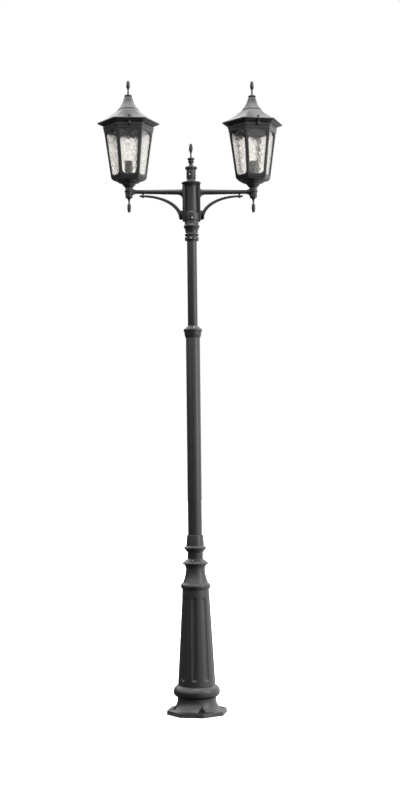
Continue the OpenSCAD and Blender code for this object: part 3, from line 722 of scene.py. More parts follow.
@dataclass(frozen=True)
class Foot:
    """The cast foot: an octagonal plate, a cove with four bolt pockets, and a torus."""

    plate_r: float = 131.0
    plate_high: float = 18.0
    step_z: float = 8.0
    step_in: float = 1.5
    turn: float = 9.0
    pocket_r: float = 85.5
    pocket_top: float = 63.0
    bolt_circle: float = 110.0
    bolt_r: float = 7.0
    top: float = 119.0
    column_r: float = 79.2
    spigot: tuple[float, float] = (69.5, 124.0)
    bore_r: float = 30.15
    seat: tuple[float, float] = (25.0, 78.0)
    cavity: tuple[float, float] = (64.0, 70.0)
    columns: int = 640

    def plate_rows(self, angle: Array) -> tuple[Array, Array]:
        """Radius and height of the plate's side, from its underside to its top edge.

        The octagon's radius at an angle is apothem / cos(angle from the middle of the flat),
        held to 1 mm inside its true corner so that the corner is blunt.
        """
        rows = np.array(
            [(2.4, 0), (1.0, 0.3), (0, 1.8), (0, self.step_z - 1.2), (0.4, self.step_z - 0.3)]
            + [(self.step_in, self.step_z + 0.3), (self.step_in, self.plate_high - 2.6)]
            + [(self.step_in + 0.6, self.plate_high - 1.1), (self.step_in + 1.9, self.plate_high - 0.3)]
            + [(self.step_in + 3.4, self.plate_high)]
        )
        eighth = TAU / 8
        off = (angle - math.radians(self.turn)) % eighth - eighth / 2
        flat = self.plate_r * math.cos(eighth / 2)
        r = np.minimum(flat / np.cos(off), self.plate_r - 1.0) - rows[:, :1]
        return r, rows[:, 1:]

    def pocket(self, angle: Array) -> Array:
        """How far out the casting reaches at each angle inside the bolt pockets.

        A pocket's two walls leave its inner corner at 45 degrees: r = corner / (cos a - |sin
        a|), with a the angle from the pocket's middle. The crease is blunted over 3 mm.
        """
        a = (angle - math.radians(self.turn) + TAU / 8) % (TAU / 4) - TAU / 8
        s = np.sqrt(np.sin(a) ** 2 + 0.03**2) - 0.03
        return self.pocket_r / np.maximum(np.cos(a) - s, 0.05)

    def skin(self) -> Skin:
        """Returns the foot's surface, hollow underneath and bored for the pole."""
        angle = np.linspace(0.0, TAU, self.columns, endpoint=False)
        plate, plate_z = self.plate_rows(angle)
        cove_start = 180 + math.degrees(math.asin((62.5 - self.plate_high) / 55))
        body = softened(
            outline(
                [105.5, self.plate_high],
                arc((136.3, 62.5), 55, cove_start, 180, 24),
                [82.5, 69],
                arc((70, 92), 28.3, -28, 72, 26),
                [self.column_r, self.top],
                [self.spigot[0], self.top],
                self.spigot,
                [self.bore_r, self.spigot[1]],
                [self.bore_r, self.seat[1]],
                self.seat,
                [self.seat[0], self.cavity[1]],
                self.cavity,
                [self.cavity[0], 0],
            ),
            1.4,
            closed=False,
        )
        r = np.repeat(body[:, :1], self.columns, axis=1)
        walls = np.broadcast_to(self.pocket(angle), r.shape)
        near = np.minimum(r, walls) - np.log1p(np.exp(-np.abs(r - walls)))
        in_reach = (body[:, 1:] < self.pocket_top) & (body[:, :1] > self.pocket_r - 6)
        r = np.where(in_reach, near, r)
        r, z = np.concatenate([plate, r]), np.concatenate([plate_z, body[:, 1:]])
        return polar(r, z, angle, loop=True)

    def dress(self, shop: Workshop) -> None:
        """Makes the foot and drills its anchor holes."""
        foot = shop.make(Piece("foot_shell", self.skin(), Slot.CASTING, "post", ("foot_casting",)))
        spots = math.radians(self.turn) + TAU / 4 * np.arange(4)
        drills = joined(
            [
                turned(np.array([[0, -5], [self.bolt_r, -5], [self.bolt_r, 30], [0, 30]]), 40).moved(
                    0.0, (self.bolt_circle * math.cos(a), self.bolt_circle * math.sin(a), 0.0)
                )
                for a in spots
            ]
        )
        mesh = bpy.data.meshes.new("anchor_drills")
        mesh.from_pydata((drills.points * MM).tolist(), [], drills.quads.tolist() + drills.tris.tolist())
        tool = bpy.data.objects.new("anchor_drills", mesh)
        bpy.context.scene.collection.objects.link(tool)
        cut = foot.modifiers.new("anchor_holes", "BOOLEAN")
        cut.operation, cut.object, cut.solver = "DIFFERENCE", tool, "EXACT"
        graph = bpy.context.evaluated_depsgraph_get()
        drilled = bpy.data.meshes.new_from_object(foot.evaluated_get(graph))
        foot.modifiers.clear()
        foot.data = drilled
        drilled.name = "foot_shell"
        drilled.shade_smooth()
        drilled.set_sharp_from_angle(angle=math.radians(32))
        bpy.data.objects.remove(tool)
        log.info("foot_shell: %d faces after drilling", len(drilled.polygons))


@dataclass(frozen=True)
class Column:
    """The tapered cast column with its round-ended flutes."""

    low: tuple[float, float] = (79.2, 119.0)
    high: tuple[float, float] = (56.4, 518.0)
    wall: float = 7.0
    flutes: int = 9
    first: float = 20.0
    flute_half: float = 12.0
    depth: float = 3.5
    flute_low: float = 140.0
    flute_high: float = 489.0
    columns_each: int = 56

    def skin(self) -> Skin:
        """Returns the column's surface.

        With d the distance round the side from a flute's middle, and e the distance past its
        straight run, the flute's depth is D (1 - (sqrt(d^2 + e^2) / half width)^3) where that
        is above 0: a floor that is nearly flat, crisp edges and round ends.
        """
        slope = (self.high[0] - self.low[0]) / (self.high[1] - self.low[1])
        half = self.flute_half
        ends = [np.linspace(self.flute_low - 2, self.flute_low + 16, 26)]
        ends += [np.linspace(self.flute_high - 16, self.flute_high + 2, 26)]
        z = np.unique(
            np.concatenate([np.linspace(self.low[1], self.high[1], 60), *ends]).round(3)
        )[:, None]
        count = self.flutes * self.columns_each
        angle = np.linspace(0.0, TAU, count, endpoint=False)
        base = self.low[0] + slope * (z - self.low[1])
        pitch = TAU / self.flutes
        off = (angle - math.radians(self.first) + pitch / 2) % pitch - pitch / 2
        run_low, run_high = self.flute_low + half, self.flute_high - half
        past = np.maximum(0, np.maximum(run_low - z, z - run_high))
        reach = np.sqrt((base * off) ** 2 + past**2) / half
        r = base - self.depth * np.maximum(0, 1 - reach**3)
        inner = np.array([[self.high[0] - self.wall], [self.low[0] - self.wall]]) + 0 * angle
        inner_z = np.array([[self.high[1]], [self.low[1]]])
        return polar(np.concatenate([r, inner]), np.concatenate([z, inner_z]), angle, loop=True)

    def dress(self, shop: Workshop) -> None:
        """Makes the column."""
        shop.make(Piece("column_shell", self.skin(), Slot.CASTING, "post", ("fluted_column",), 24.0))


@dataclass(frozen=True)
class PoleStack:
    """What stands on the column: the bell, the sleeve, the two tubes and their castings."""

    bore: float = 30.15
    lower_r: float = 30.0
    upper_r: float = 21.0
    upper_bore: float = 21.15
    column_top: float = 518.0

    def bell(self) -> Skin:
        """Returns the bell: a torus, a long hollow curve and two turned rings."""
        top = self.column_top
        line = outline(
            [[self.bore, 650], [self.bore, 594], [38, 584], [44, 530], [44, top - 8], [48.8, top - 8]],
            [[48.8, top], [56.4, top]],
            arc((48.8, top + 15), 14.4, -57, 61, 26),
            arc((196.8, 610), 156.3, 204.2, 180, 16),
            [[43, 614], [44.1, 619], [47.7, 623]],
            arc((50.6, 628.5), 3.9, -58, 58, 8),
            [[44.8, 639], [33.2, 647], [33.2, 650]],
        )
        return turned(softened(line, 1.2), 128, loop=True)

    def sleeve(self) -> Skin:
        """Returns the sleeve above the bell, with its single ring."""
        line = outline(
            [[self.bore, 650], [32.8, 650], [32.8, 674], [34.5, 677], [38.8, 681], [40.9, 686]],
            [45.0, 688.9],
            arc((43.6, 694), 4.1, -48, 52, 8),
            [[38, 702], [37.7, 706], [34.4, 747], [33.4, 748], [self.bore, 748]],
        )
        return turned(softened(line, 1.0), 96, loop=True)

    def tube(self, radius: float, wall: float, low: float, high: float) -> Skin:
        """Returns a drawn tube with slightly eased ends."""
        line = outline([[radius - wall, low], [radius, low], [radius, high], [radius - wall, high]])
        return turned(softened(line, 0.5), 96, loop=True)

    def joint(self) -> Skin:
        """Returns the collar that joins the two tubes."""
        line = outline(
            [[self.bore, 1587], [31.8, 1587], [32.8, 1590], [35, 1596], [36, 1603], [36.2, 1611]],
            [[39.7, 1613.5], [39.7, 1621.5], [38.4, 1623], [23.5, 1636], [22.5, 1637]],
            [[self.upper_bore, 1637], [self.upper_bore, 1606.3], [self.bore, 1606.3]],
        )
        return turned(softened(line, 1.1), 96, loop=True)

    def capital_ring(self) -> Skin:
        """Returns the collar under the capital."""
        line = outline(
            [[self.upper_bore, 2004], [28.5, 2004], [30, 2005.5], [30, 2016.5], [28.5, 2018]],
            [[24, 2018.5], [24, 2024], [self.upper_bore, 2024]],
        )
        return turned(softened(line, 1.0), 96, loop=True)

    def capital(self) -> Skin:
        """Returns the flared capital."""
        line = outline(
            [[self.upper_bore, 2024], [28.3, 2024], [29.8, 2025.5], [29.8, 2030.5], [28.3, 2032]],
            bend([26, 2034], [26.5, 2052], [34.5, 2062.5], 8),
            [[34.9, 2065], [30.2, 2074], [30.2, 2087], [self.upper_bore, 2087]],
        )
        return turned(softened(line, 0.9), 96, loop=True)

    def dress(self, shop: Workshop) -> None:
        """Makes the stack from the bell to the capital."""
        for name, skin, slot, node in (
            ("bell_shell", self.bell(), Slot.CASTING, "bell_casting"),
            ("sleeve_shell", self.sleeve(), Slot.CASTING, "pole_sleeve"),
            ("lower_tube", self.tube(self.lower_r, 3.0, 78, 1606), Slot.TUBE, "lower_pole"),
            ("joint_shell", self.joint(), Slot.CASTING, "joint_collar"),
            ("upper_tube", self.tube(self.upper_r, 2.5, 1490, 2240), Slot.TUBE, "upper_pole"),
            ("capital_ring", self.capital_ring(), Slot.CASTING, "capital_collar"),
            ("capital_shell", self.capital(), Slot.CASTING, "capital_casting"),
        ):
            shop.make(Piece(name, skin, slot, "post", (node,)))


# ---- Head ------------------------------------------------------------------------------


def bud(z: float, way: float = 1.0) -> Array:
    """The outline of a finial's bud from its ring at z to its blunt tip 36 mm on."""
    line = outline(
        [[3.4, -3], [5.6, -2], [5.6, 0], [4.5, 0.5]],
        bend([5.6, 2], [8.1, 4.5], [8.2, 10.5], 6),
        bend([8.2, 12], [7.9, 23], [6.2, 30], 10),
        bend([5.7, 32.2], [4.4, 35.6], [0, 36], 7),
    )
    return line * np.array([1.0, way]) + np.array([0.0, z])


@dataclass(frozen=True)
class Head:
    """The hub that carries the arms, its cover, and the turned top with its finial."""

    bore: float = 21.15
    low: float = 2087.0
    top: float = 2249.0
    hub_r: float = 28.0
    groove: tuple[float, float] = (2131.0, 2230.0)
    groove_deep: float = 1.3

    def hub(self) -> Skin:
        """Returns the hub, with a narrow groove down its front and its back.

        The groove takes max(0, depth - distance from its middle) off the radius, between its
        two ends.
        """
        line = softened(
            outline(
                [[self.bore, self.low], [30.2, self.low], [33, 2090], [33, 2122], [self.hub_r, 2127]],
                [[self.hub_r, 2131], [self.hub_r, 2131.6], [self.hub_r, 2229.4], [self.hub_r, 2230]],
                [[self.hub_r, 2234], [30, 2241], [36, 2246], [38.5, self.top], [self.bore, self.top]],
            ),
            1.1,
        )
        fine = np.linspace(-0.12, 0.12, 25)
        angle = np.unique(
            np.concatenate(
                [np.linspace(0, TAU, 96, endpoint=False), TAU / 4 + fine, 3 * TAU / 4 + fine]
            ).round(5)
        )
        r, z = line[:, :1] + 0 * angle, line[:, 1:]
        off = np.abs((angle % math.pi) - math.pi / 2) * self.hub_r
        inside = (z > self.groove[0]) & (z < self.groove[1]) & (line[:, :1] > self.hub_r - 1)
        return polar(r - inside * np.maximum(0, self.groove_deep - off), z, angle, loop=True)

    def cover(self) -> Skin:
        """Returns the disc that covers the hub, with its short neck."""
        line = outline(
            [[12, self.top], [38.6, self.top]],
            arc((38.6, self.top + 3.2), 3.2, -80, 80, 12),
            bend([36, 2256.3], [23, 2258], [20.2, 2264.5], 8),
            [[17.7, 2266], [17.7, 2271], [17, 2271], [17, 2296], [12, 2296]],
        )
        return turned(softened(line, 1.2), 96, loop=True)

    def top_tube(self) -> Skin:
        """Returns the plain tube between the cover and the cap."""
        line = outline([[17.15, 2271], [20.2, 2271], [20.2, 2312.5], [17.15, 2312.5]])
        return turned(softened(line, 0.7), 96, loop=True)

    def cap(self) -> Skin:
        """Returns the turned cap: a disc, a waist, a bead and a small dish."""
        line = outline(
            [[0, 2304.5], [17, 2304.5], [17, 2312.5], [24.2, 2312.5], [25.7, 2314], [25.7, 2321]],
            [24.2, 2322.5],
            bend([20, 2323], [10, 2324.5], [8.6, 2330], 7),
            [8.6, 2339.5],
            arc((8.5, 2345), 4.6, -70, 70, 10),
            [[10.7, 2351], [14.5, 2354.5], [16, 2357.5], [14.5, 2360]],
            bend([10, 2361], [4.4, 2363], [3.6, 2372], 7),
            [0, 2372],
        )
        return turned(softened(line, 0.8, closed=False), 80)

    def finial(self) -> Skin:
        """Returns the post's own finial."""
        return turned(softened(outline([[0, 2372], [3, 2372]], bud(2388)), 0.6, closed=False), 56)

    def dress(self, shop: Workshop) -> None:
        """Makes the hub and the top."""
        for name, skin, node in (
            ("hub_shell", self.hub(), "hub_casting"),
            ("hub_disc", self.cover(), "hub_cover"),
            ("top_sleeve", self.top_tube(), "top_tube"),
            ("top_turning", self.cap(), "top_cap"),
            ("top_bud", self.finial(), "top_finial"),
        ):
            shop.make(Piece(name, skin, Slot.CASTING, "post", (node,)))


@dataclass(frozen=True)
class Arm:
    """A cast arm with its back plate and cup, its curved brace, stud and drop finial."""

    z: float = 2214.0
    reach: float = 267.0
    plate: tuple[float, float] = (26.0, 38.0)
    plate_z: tuple[float, float] = (2087.1, 2246.5)
    plate_half: float = 14.0
    bar_r: tuple[float, float] = (12.0, 8.0)
    flare: tuple[float, float] = (20.0, 10.0)
    brace_centre: tuple[float, float] = (214.0, 2100.0)
    brace_axes: tuple[float, float] = (160.0, 92.0)
    brace_thick: tuple[float, float] = (16.0, 7.2)
    brace_half: float = 6.0
    stud_x: float = 207.0

    def bar(self) -> Skin:
        """Returns the arm's bar.

        A section across X is the oval y = w cos a, z = h sin a, with h its own above and
        below. h follows the bar's taper, plus a circular fillet at the root, above and
        below, and another where the bar runs into the cup.
        """
        x0, x1 = self.plate[1] - 1, self.reach - 16.0
        root = np.linspace(x0, 60, 16)
        middle, end = np.linspace(64, self.reach - 38, 14), np.linspace(self.reach - 36, x1, 18)
        x = np.concatenate([root, middle, end])
        bar = self.bar_r[0] + (self.bar_r[1] - self.bar_r[0]) * (x - self.plate[1]) / (
            self.reach - 20 - self.plate[1]
        )
        past = np.clip((x - self.reach + self.flare[0] + 16) / self.flare[0], 0, 0.985)
        flare = self.flare[1] * (1 - np.sqrt(1 - past**2))
        over = 6.5 - np.sqrt(np.maximum(6.5**2 - np.clip(44.5 - x, 0, 6.5) ** 2, 0))
        under = 20.0 - np.sqrt(np.maximum(20.0**2 - np.clip(58.0 - x, 0, 20.0) ** 2, 0))
        a = np.linspace(0.0, TAU, 64, endpoint=False)
        tall = np.where(np.sin(a) > 0, (bar + flare + over)[:, None], (bar + flare + under)[:, None])
        wide = (bar + 0.35 * flare)[:, None]
        rows = np.stack(
            [
                np.broadcast_to(x[:, None], tall.shape),
                wide * np.cos(a),
                self.z + tall * np.sin(a),
            ],
            axis=-1,
        )
        return skin_of(rows)

    def cup(self) -> Skin:
        """Returns the cup that the lantern's stem hangs in."""
        line = outline(
            [[12.5, -18], [15.4, -18], [16.2, -16.5], [16.2, -14.5], [15, -13], [15, -11.5]],
            [[16.4, -10], [16.4, -4]],
            arc((12.1, 3), 7, -50, 50, 10),
            [[16.4, 10], [16.4, 16], [15.4, 17], [8.08, 17], [8.08, 10], [12.5, 10]],
        )
        return turned(softened(line, 0.7), 72, loop=True).moved(0.0, (self.reach, 0, self.z))

    def back_plate(self) -> Skin:
        """Returns the plate that bolts the arm to the hub."""
        return slab(
            (self.plate[0], -self.plate_half, self.plate_z[0]),
            (self.plate[1], self.plate_half, self.plate_z[1]),
            1.6,
        )

    def brace(self) -> Skin:
        """Returns the brace.

        Its underside is a quarter ellipse, centre + (-A cos t, B sin t). A section stands on
        it along the ellipse's outward normal, with a thickness that falls from the root to
        the tip, and is a rectangle with rounded corners.
        """
        t = np.radians(np.linspace(-1, 90, 44))
        wide, tall = self.brace_axes
        under = np.stack(
            [self.brace_centre[0] - wide * np.cos(t), self.brace_centre[1] + tall * np.sin(t)], -1
        )
        way = np.stack([-tall * np.cos(t), wide * np.sin(t)], axis=-1)
        way /= np.linalg.norm(way, axis=1, keepdims=True)
        thick = np.interp(np.degrees(t), [0, 90], self.brace_thick)
        more = self.brace_thick[1] * np.array([0.3, 0.62, 0.85, 0.97])
        end = np.stack([self.brace_centre[0] + more + 1.5, np.full(4, under[-1, 1])], axis=-1)
        under = np.concatenate([under, end])
        way = np.concatenate([way, np.tile([0.0, 1.0], (4, 1))])
        share = np.concatenate([np.ones_like(t), [0.97, 0.85, 0.6, 0.25]])[:, None]
        thick = np.concatenate([thick, np.full(4, self.brace_thick[1])])[:, None]
        ring = rounded_box(0.5, 1.0, 0.22)
        rise = thick * (0.5 + ring[None, :, 0] * share)
        side = self.brace_half * np.sign(ring[:, 1]) * np.abs(ring[:, 1]) ** 0.8
        flat = under[:, None] + rise[..., None] * way[:, None]
        y = np.broadcast_to(side[None], rise.shape)
        return skin_of(np.stack([flat[..., 0], y, flat[..., 1]], axis=-1))

    def brace_root(self) -> Skin:
        """Returns the block that the brace grows from."""
        return slab((self.plate[1] - 1, -self.brace_half, 2094), (51.5, self.brace_half, 2134), 2.4)

    def stud(self) -> Skin:
        """Returns the stud, spacer and dome nut between the brace's tip and the arm."""
        tip = self.brace_centre[1] + self.brace_axes[1]
        spacer = softened(
            outline(
                [[0, tip + 4.5], [4.6, tip + 4.5], [4.6, tip + 6], [3.9, tip + 8]],
                [[4.4, tip + 12.6], [0, tip + 12.6]],
            ),
            0.6,
            closed=False,
        )
        nut = hex_nut(5.0, -(tip + 1.0), -(tip - 2.6), 2.0)
        nut = Skin(nut.points * np.array([1.0, 1.0, -1.0]), nut.quads, nut.tris).outward()
        return joined([turned(spacer, 40), nut]).moved(0.0, (self.stud_x, 0.0, 0.0))

    def drop(self) -> Skin:
        """Returns the finial under the cup, which also closes it."""
        line = outline(
            [[0, -12.3], [12.35, -12.3], [12.35, -18], [15, -18], [15.8, -19], [15.8, -23.5]],
            [14.6, -24.5],
            bend([13, -25.4], [5.2, -28.5], [3.6, -42], 10),
            [[3.4, -53], [7.4, -54], [8.8, -56], [7.6, -58], [5.8, -58.6]],
            bend([6.8, -59.6], [8.0, -61], [8.0, -65], 5),
            bend([8.0, -66], [7.9, -77], [6.4, -83], 8),
            bend([6.0, -84.8], [4.4, -88.6], [0, -89], 6),
        )
        return turned(softened(line, 0.6, closed=False), 64).moved(0.0, (self.reach, 0, self.z))

    def dress(self, shop: Workshop) -> None:
        """Makes both arms with what hangs from them."""
        arm = joined([self.bar(), self.cup(), self.back_plate()])
        brace = joined([self.brace(), self.brace_root()])
        stud, drop = self.stud(), self.drop()
        shop.make(Piece("right_arm_bar", arm, Slot.CASTING, "post", ("right_arm",)))
        shop.make(Piece("left_arm_bar", arm.mirrored(), Slot.CASTING, "post", ("left_arm",)))
        shop.make(Piece("right_scroll", brace, Slot.CASTING, "post", ("right_brace",), 50.0))
        shop.make(Piece("left_scroll", brace.mirrored(), Slot.CASTING, "post", ("left_brace",), 50.0))
        studs = joined([stud, stud.mirrored()])
        shop.make(Piece("scroll_studs", studs, Slot.CASTING, "post", ("brace_studs",)))
        drops = joined([drop, drop.mirrored()])
        shop.make(Piece("drop_buds", drops, Slot.CASTING, "post", ("drop_finials",)))


# ---- Lanterns --------------------------------------------------------------------------


@dataclass(frozen=True)
class Side:
    """Where one lantern hangs: its name, its stem's foot in mm and its turn in radians."""

    name: str
    x: float
    z: float
    turn: float

    @staticmethod
    def of(name: str) -> Side:
        """Reads a lantern's place and turn from the record's own joints."""
        joints = {j["name"]: j for j in frame["record"]["behaviour"]["joints"]}
        stem = joints[name + "_lantern_turn"]["pos_m"]
        axis = joints[name + "_roof_hinge"]["axis"]
        return Side(name, stem[0] * 1000, stem[2] * 1000, math.atan2(-axis[1], -axis[0]))

    def placed(self, skin: Skin) -> Skin:
        """Returns a surface drawn about the stem, moved to this lantern."""
        return skin.moved(self.turn, (self.x, 0.0, self.z))


@dataclass(frozen=True)
class Lantern:
    """The body of a lantern: bowl, glazed cage, panes and lamp holder."""

    side: Side
    low_r: float = 76.5
    high_r: float = 104.9
    low: float = 59.0
    high: float = 262.0
    band_top: float = 281.0
    wall: float = 4.5
    rib: float = 10.0
    sill: float = 10.0
    head_margin: float = 9.0
    corner: float = 16.0
    arch: tuple[float, float] = (24.0, 22.0)
    glass: float = 3.0
    glass_gap: float = 0.3

    @property
    def lean(self) -> float:
        """Returns the angle that a face leans outwards, in radians."""
        return math.atan((self.high_r - self.low_r) * COS30 / (self.high - self.low))

    @property
    def slant(self) -> float:
        """Returns the length of a face up its slope."""
        return (self.high - self.low) / math.cos(self.lean)

    def half_at(self, y: Array | float) -> Array | float:
        """Returns half the clear width between the ribs at a height up a face."""
        low, high = self.low_r / 2 - self.rib, self.high_r / 2 - self.rib
        return low + (high - low) * y / self.slant

    def on_faces(self, skin: Skin) -> Skin:
        """Sets a surface drawn on one face on all six.

        On a face, x runs across, y up the slope and z outwards; the face is tipped by its
        lean about its lower edge and carried round in steps of 60 degrees.
        """
        across, up, out = skin.points.T
        c, s = math.cos(self.lean), math.sin(self.lean)
        tipped = np.stack([out * c + up * s, across, up * c - out * s], axis=-1)
        tipped += np.array([self.low_r * COS30, 0.0, self.low])
        one = Skin(tipped, skin.quads, skin.tris).outward()
        return joined([one.moved(math.radians(30 + 60 * k)) for k in range(6)])

    def window(self) -> Array:
        """Returns the outline of a window, anticlockwise: round foot corners, arched head."""
        head = self.slant - self.head_margin
        wide, tall = self.arch
        foot = arc(
            (self.half_at(self.sill + self.corner) - self.corner, self.sill + self.corner),
            self.corner, -90, 0, 8,
        )
        a = np.radians(np.linspace(0, 90, 11))
        spring = self.half_at(head - tall)
        top = np.stack([spring - wide + wide * np.cos(a), head - tall + tall * np.sin(a)], axis=-1)
        rise = np.linspace(foot[-1], top[0], 14)[1:-1]
        right = np.concatenate([foot, rise, top])
        cross = np.linspace([right[-1, 0], head], [-right[-1, 0], head], 8)[1:-1]
        left = right[::-1] * np.array([-1.0, 1.0])
        under = np.linspace(left[-1], right[0], 10)[1:-1]
        return np.concatenate([right, cross, left, under])

    def panel(self) -> Skin:
        """Returns one face of the cage as a frame round its window.

        Each point of the window's edge is paired with the point of the face's edge on the
        same ray from the window's middle. The section between the two is carried round: a
        rounded outer edge, the face, a rounded window edge, the reveal and the back.
        """
        inner = self.window()
        mid = np.array([0.0, self.slant / 2])
        ray = inner - mid
        tilt = (self.high_r - self.low_r) / 2 / self.slant
        side_reach = (self.low_r / 2 + tilt * mid[1]) / np.maximum(
            np.abs(ray[:, 0]) - tilt * ray[:, 1], 1e-6
        )
        end_reach = (self.slant / 2) / np.maximum(np.abs(ray[:, 1]), 1e-6)
        outer = mid + ray * np.minimum(side_reach, end_reach)[:, None]
        gone = outer - inner
        span = np.linalg.norm(gone, axis=1, keepdims=True)
        way = gone / span
        pinch = np.stack(
            [self.wall * math.tan(math.pi / 6) * np.sign(outer[:, 0]) * (side_reach < end_reach), 0 * span[:, 0]],
            axis=-1,
        )
        soft, lip = 1.3, 1.1
        section = [
            (outer - 0.05 * way, -soft),
            (outer - 0.35 * soft * way, -0.35 * soft),
            (outer - soft * way, 0.0),
            (inner + 3.4 * way, 0.0),
            (inner + lip * way, -0.15),
            (inner + 0.3 * lip * way, -0.3 * lip - 0.1),
            (inner, -lip - 0.2),
            (inner, -self.wall + 0.4),
            (inner + 0.4 * way, -self.wall),
            (outer - pinch, -self.wall),
        ]
        rows = np.stack(
            [np.column_stack([flat, np.full(len(flat), depth)]) for flat, depth in section]
        )
        return skin_of(rows, loop=True)

    def band(self) -> Skin:
        """Returns the two-step band round the top of the cage."""
        r = self.high_r
        line = outline(
            [[r - 5.6, 256], [r + 0.9, 256.5], [r + 1.6, 258], [r + 1.6, 269], [r + 4.1, 270.2]],
            [[r + 4.1, self.band_top], [r - 5.6, self.band_top]],
        )
        return prism(softened(line, 0.9), soft=1.4, loop=True)

    def hinge_and_lug(self) -> Skin:
        """Returns the cage's two hinge knuckles at the back and the catch's lug at the front."""
        parts = []
        for x0, x1 in ((-24, -13), (13, 24)):
            line = outline([[2.1, x0], [4, x0], [4, x1], [2.1, x1]])
            barrel = turned(softened(line, 0.4), 28, loop=True)
            points = barrel.points[:, [2, 0, 1]] + np.array([0.0, 103.0, 279.0])
            parts += [Skin(points, barrel.quads, barrel.tris).outward()]
            parts += [slab((x0, 89, 275), (x1, 101, 280), 0.6)]
        lug = slab((-5, -110, 270), (5, -90, self.band_top), 1.2)
        return joined([*parts, lug])

    def bowl(self) -> Skin:
        """Returns the bowl: turned steps below, drawn out into the hexagon of the cage."""
        line = outline(
            [[8.05, 17.3], [15.6, 17.3], [16.5, 18.2], [16.5, 20]],
            bend([18, 20.5], [23, 23], [24.6, 29], 7),
            [[27.4, 29.4], [28.2, 31.2], [27.6, 33.2]],
            bend([28.6, 33.6], [34, 38], [42.6, 40.4], 7),
            [[45.4, 40.6], [46.3, 42.4], [45.8, 44.4]],
            bend([47, 44.8], [54, 46.4], [58, 49.2], 6),
            [[60.6, 49.6], [61.6, 51.4], [61.2, 53.2]],
            [[63.5, 54.6], [65.3, 57.0], [65.5, 59], [61, 59], [57, 53], [45, 45.5], [28, 38]],
            [[21, 33], [20, 30], [8.05, 30]],
        )
        smooth = softened(line, 0.9)
        reach = smooth[:, 0]
        w = np.clip((64.0 - reach) / 15.0, 0, 1)
        w = w * w * (3 - 2 * w)
        corner = np.column_stack([reach / COS30, smooth[:, 1]])
        return prism(corner, soft=1.0, roundness=w, loop=True, per_side=11)

    def panes(self) -> Skin:
        """Returns the six rippled panes.

        A pane's two faces are pushed in and out by a sum of slow sine waves across and up
        it, with their own phase on each face, so that the thickness wanders by about a tenth.
        """
        back = -self.wall - self.glass_gap
        head = self.slant - self.head_margin
        y = np.linspace(4.0, head + 5.0, 54)[:, None]
        u = np.linspace(-1.0, 1.0, 26)[None]
        x = u * (self.half_at(y) + 3.0)
        faces = []
        for base, phase in ((back, 0.4), (back - self.glass, 2.1)):
            wave = np.sin(0.31 * x + 0.17 * y + phase) + np.sin(0.23 * y - 0.12 * x + 2.3 * phase)
            wave = wave + np.sin(0.41 * y + 0.21 * x + 1.7 * phase) * 0.6
            edge = np.clip((1 - np.abs(u)) * 9, 0, 1)
            edge = edge * np.clip((y - 4) / 8, 0, 1) * np.clip((head + 5 - y) / 8, 0, 1)
            faces.append(np.stack([x + 0 * y, y + 0 * x, base + 0.11 * wave * edge], axis=-1))
        rows = np.concatenate([faces[0], faces[1][:, ::-1]], axis=1)
        return self.on_faces(skin_of(rows))

    def holder(self) -> Skin:
        """Returns the porcelain lamp holder, with its ribbed skirt."""
        line = outline(
            [[8.2, 61.5], [19.5, 61.5], [19.5, 66.5], [17.2, 68.5]],
            [[17.2, 84], [16.5, 85], [17.2, 86], [17.2, 96], [16.5, 97], [17.2, 98], [17.2, 108]],
            [[16.5, 109], [17.2, 110], [17.2, 125], [18.2, 126], [18.2, 132], [17.2, 133]],
            [[14.1, 133], [14.1, 97], [9, 97], [9, 90], [8.2, 73]],
        )
        return turned(softened(line, 0.7), 72, loop=True)

    def shell(self) -> Skin:
        """Returns the brass screw shell: r = mean + 0.35 sin(2 pi z / pitch), 3.6 mm pitch."""
        z = np.linspace(97.2, 128, 90)
        r = 13.55 + 0.3 * np.sin(TAU * z / 3.6)
        wall = np.column_stack([r, z])
        inside = np.column_stack([r - 0.4, z])[::-1]
        line = outline([[0, 90], [5, 90], [5, 93], [0, 93.6]])
        contact = turned(softened(line, 0.5, closed=False), 40)
        return joined([turned(np.concatenate([wall, inside]), 64, loop=True), contact])

    def dress(self, shop: Workshop) -> None:
        """Makes this lantern's body."""
        name, body = self.side.name, self.side.name + "_lantern"
        frame_skin = joined([self.on_faces(self.panel()), self.band(), self.hinge_and_lug()])
        for part, skin, slot, node in (
            ("bowl_shell", self.bowl(), Slot.CASTING, "bowl"),
            ("cage_frame", frame_skin, Slot.CASTING, "cage"),
            ("panes", self.panes(), Slot.GLASS, "glass"),
            ("holder_body", self.holder(), Slot.PORCELAIN, "lamp_holder"),
            ("screw_shell", self.shell(), Slot.BRASS, "lamp_shell"),
        ):
            shop.make(Piece(f"{name}_{part}", self.side.placed(skin), slot, body, (f"{name}_{node}",)))


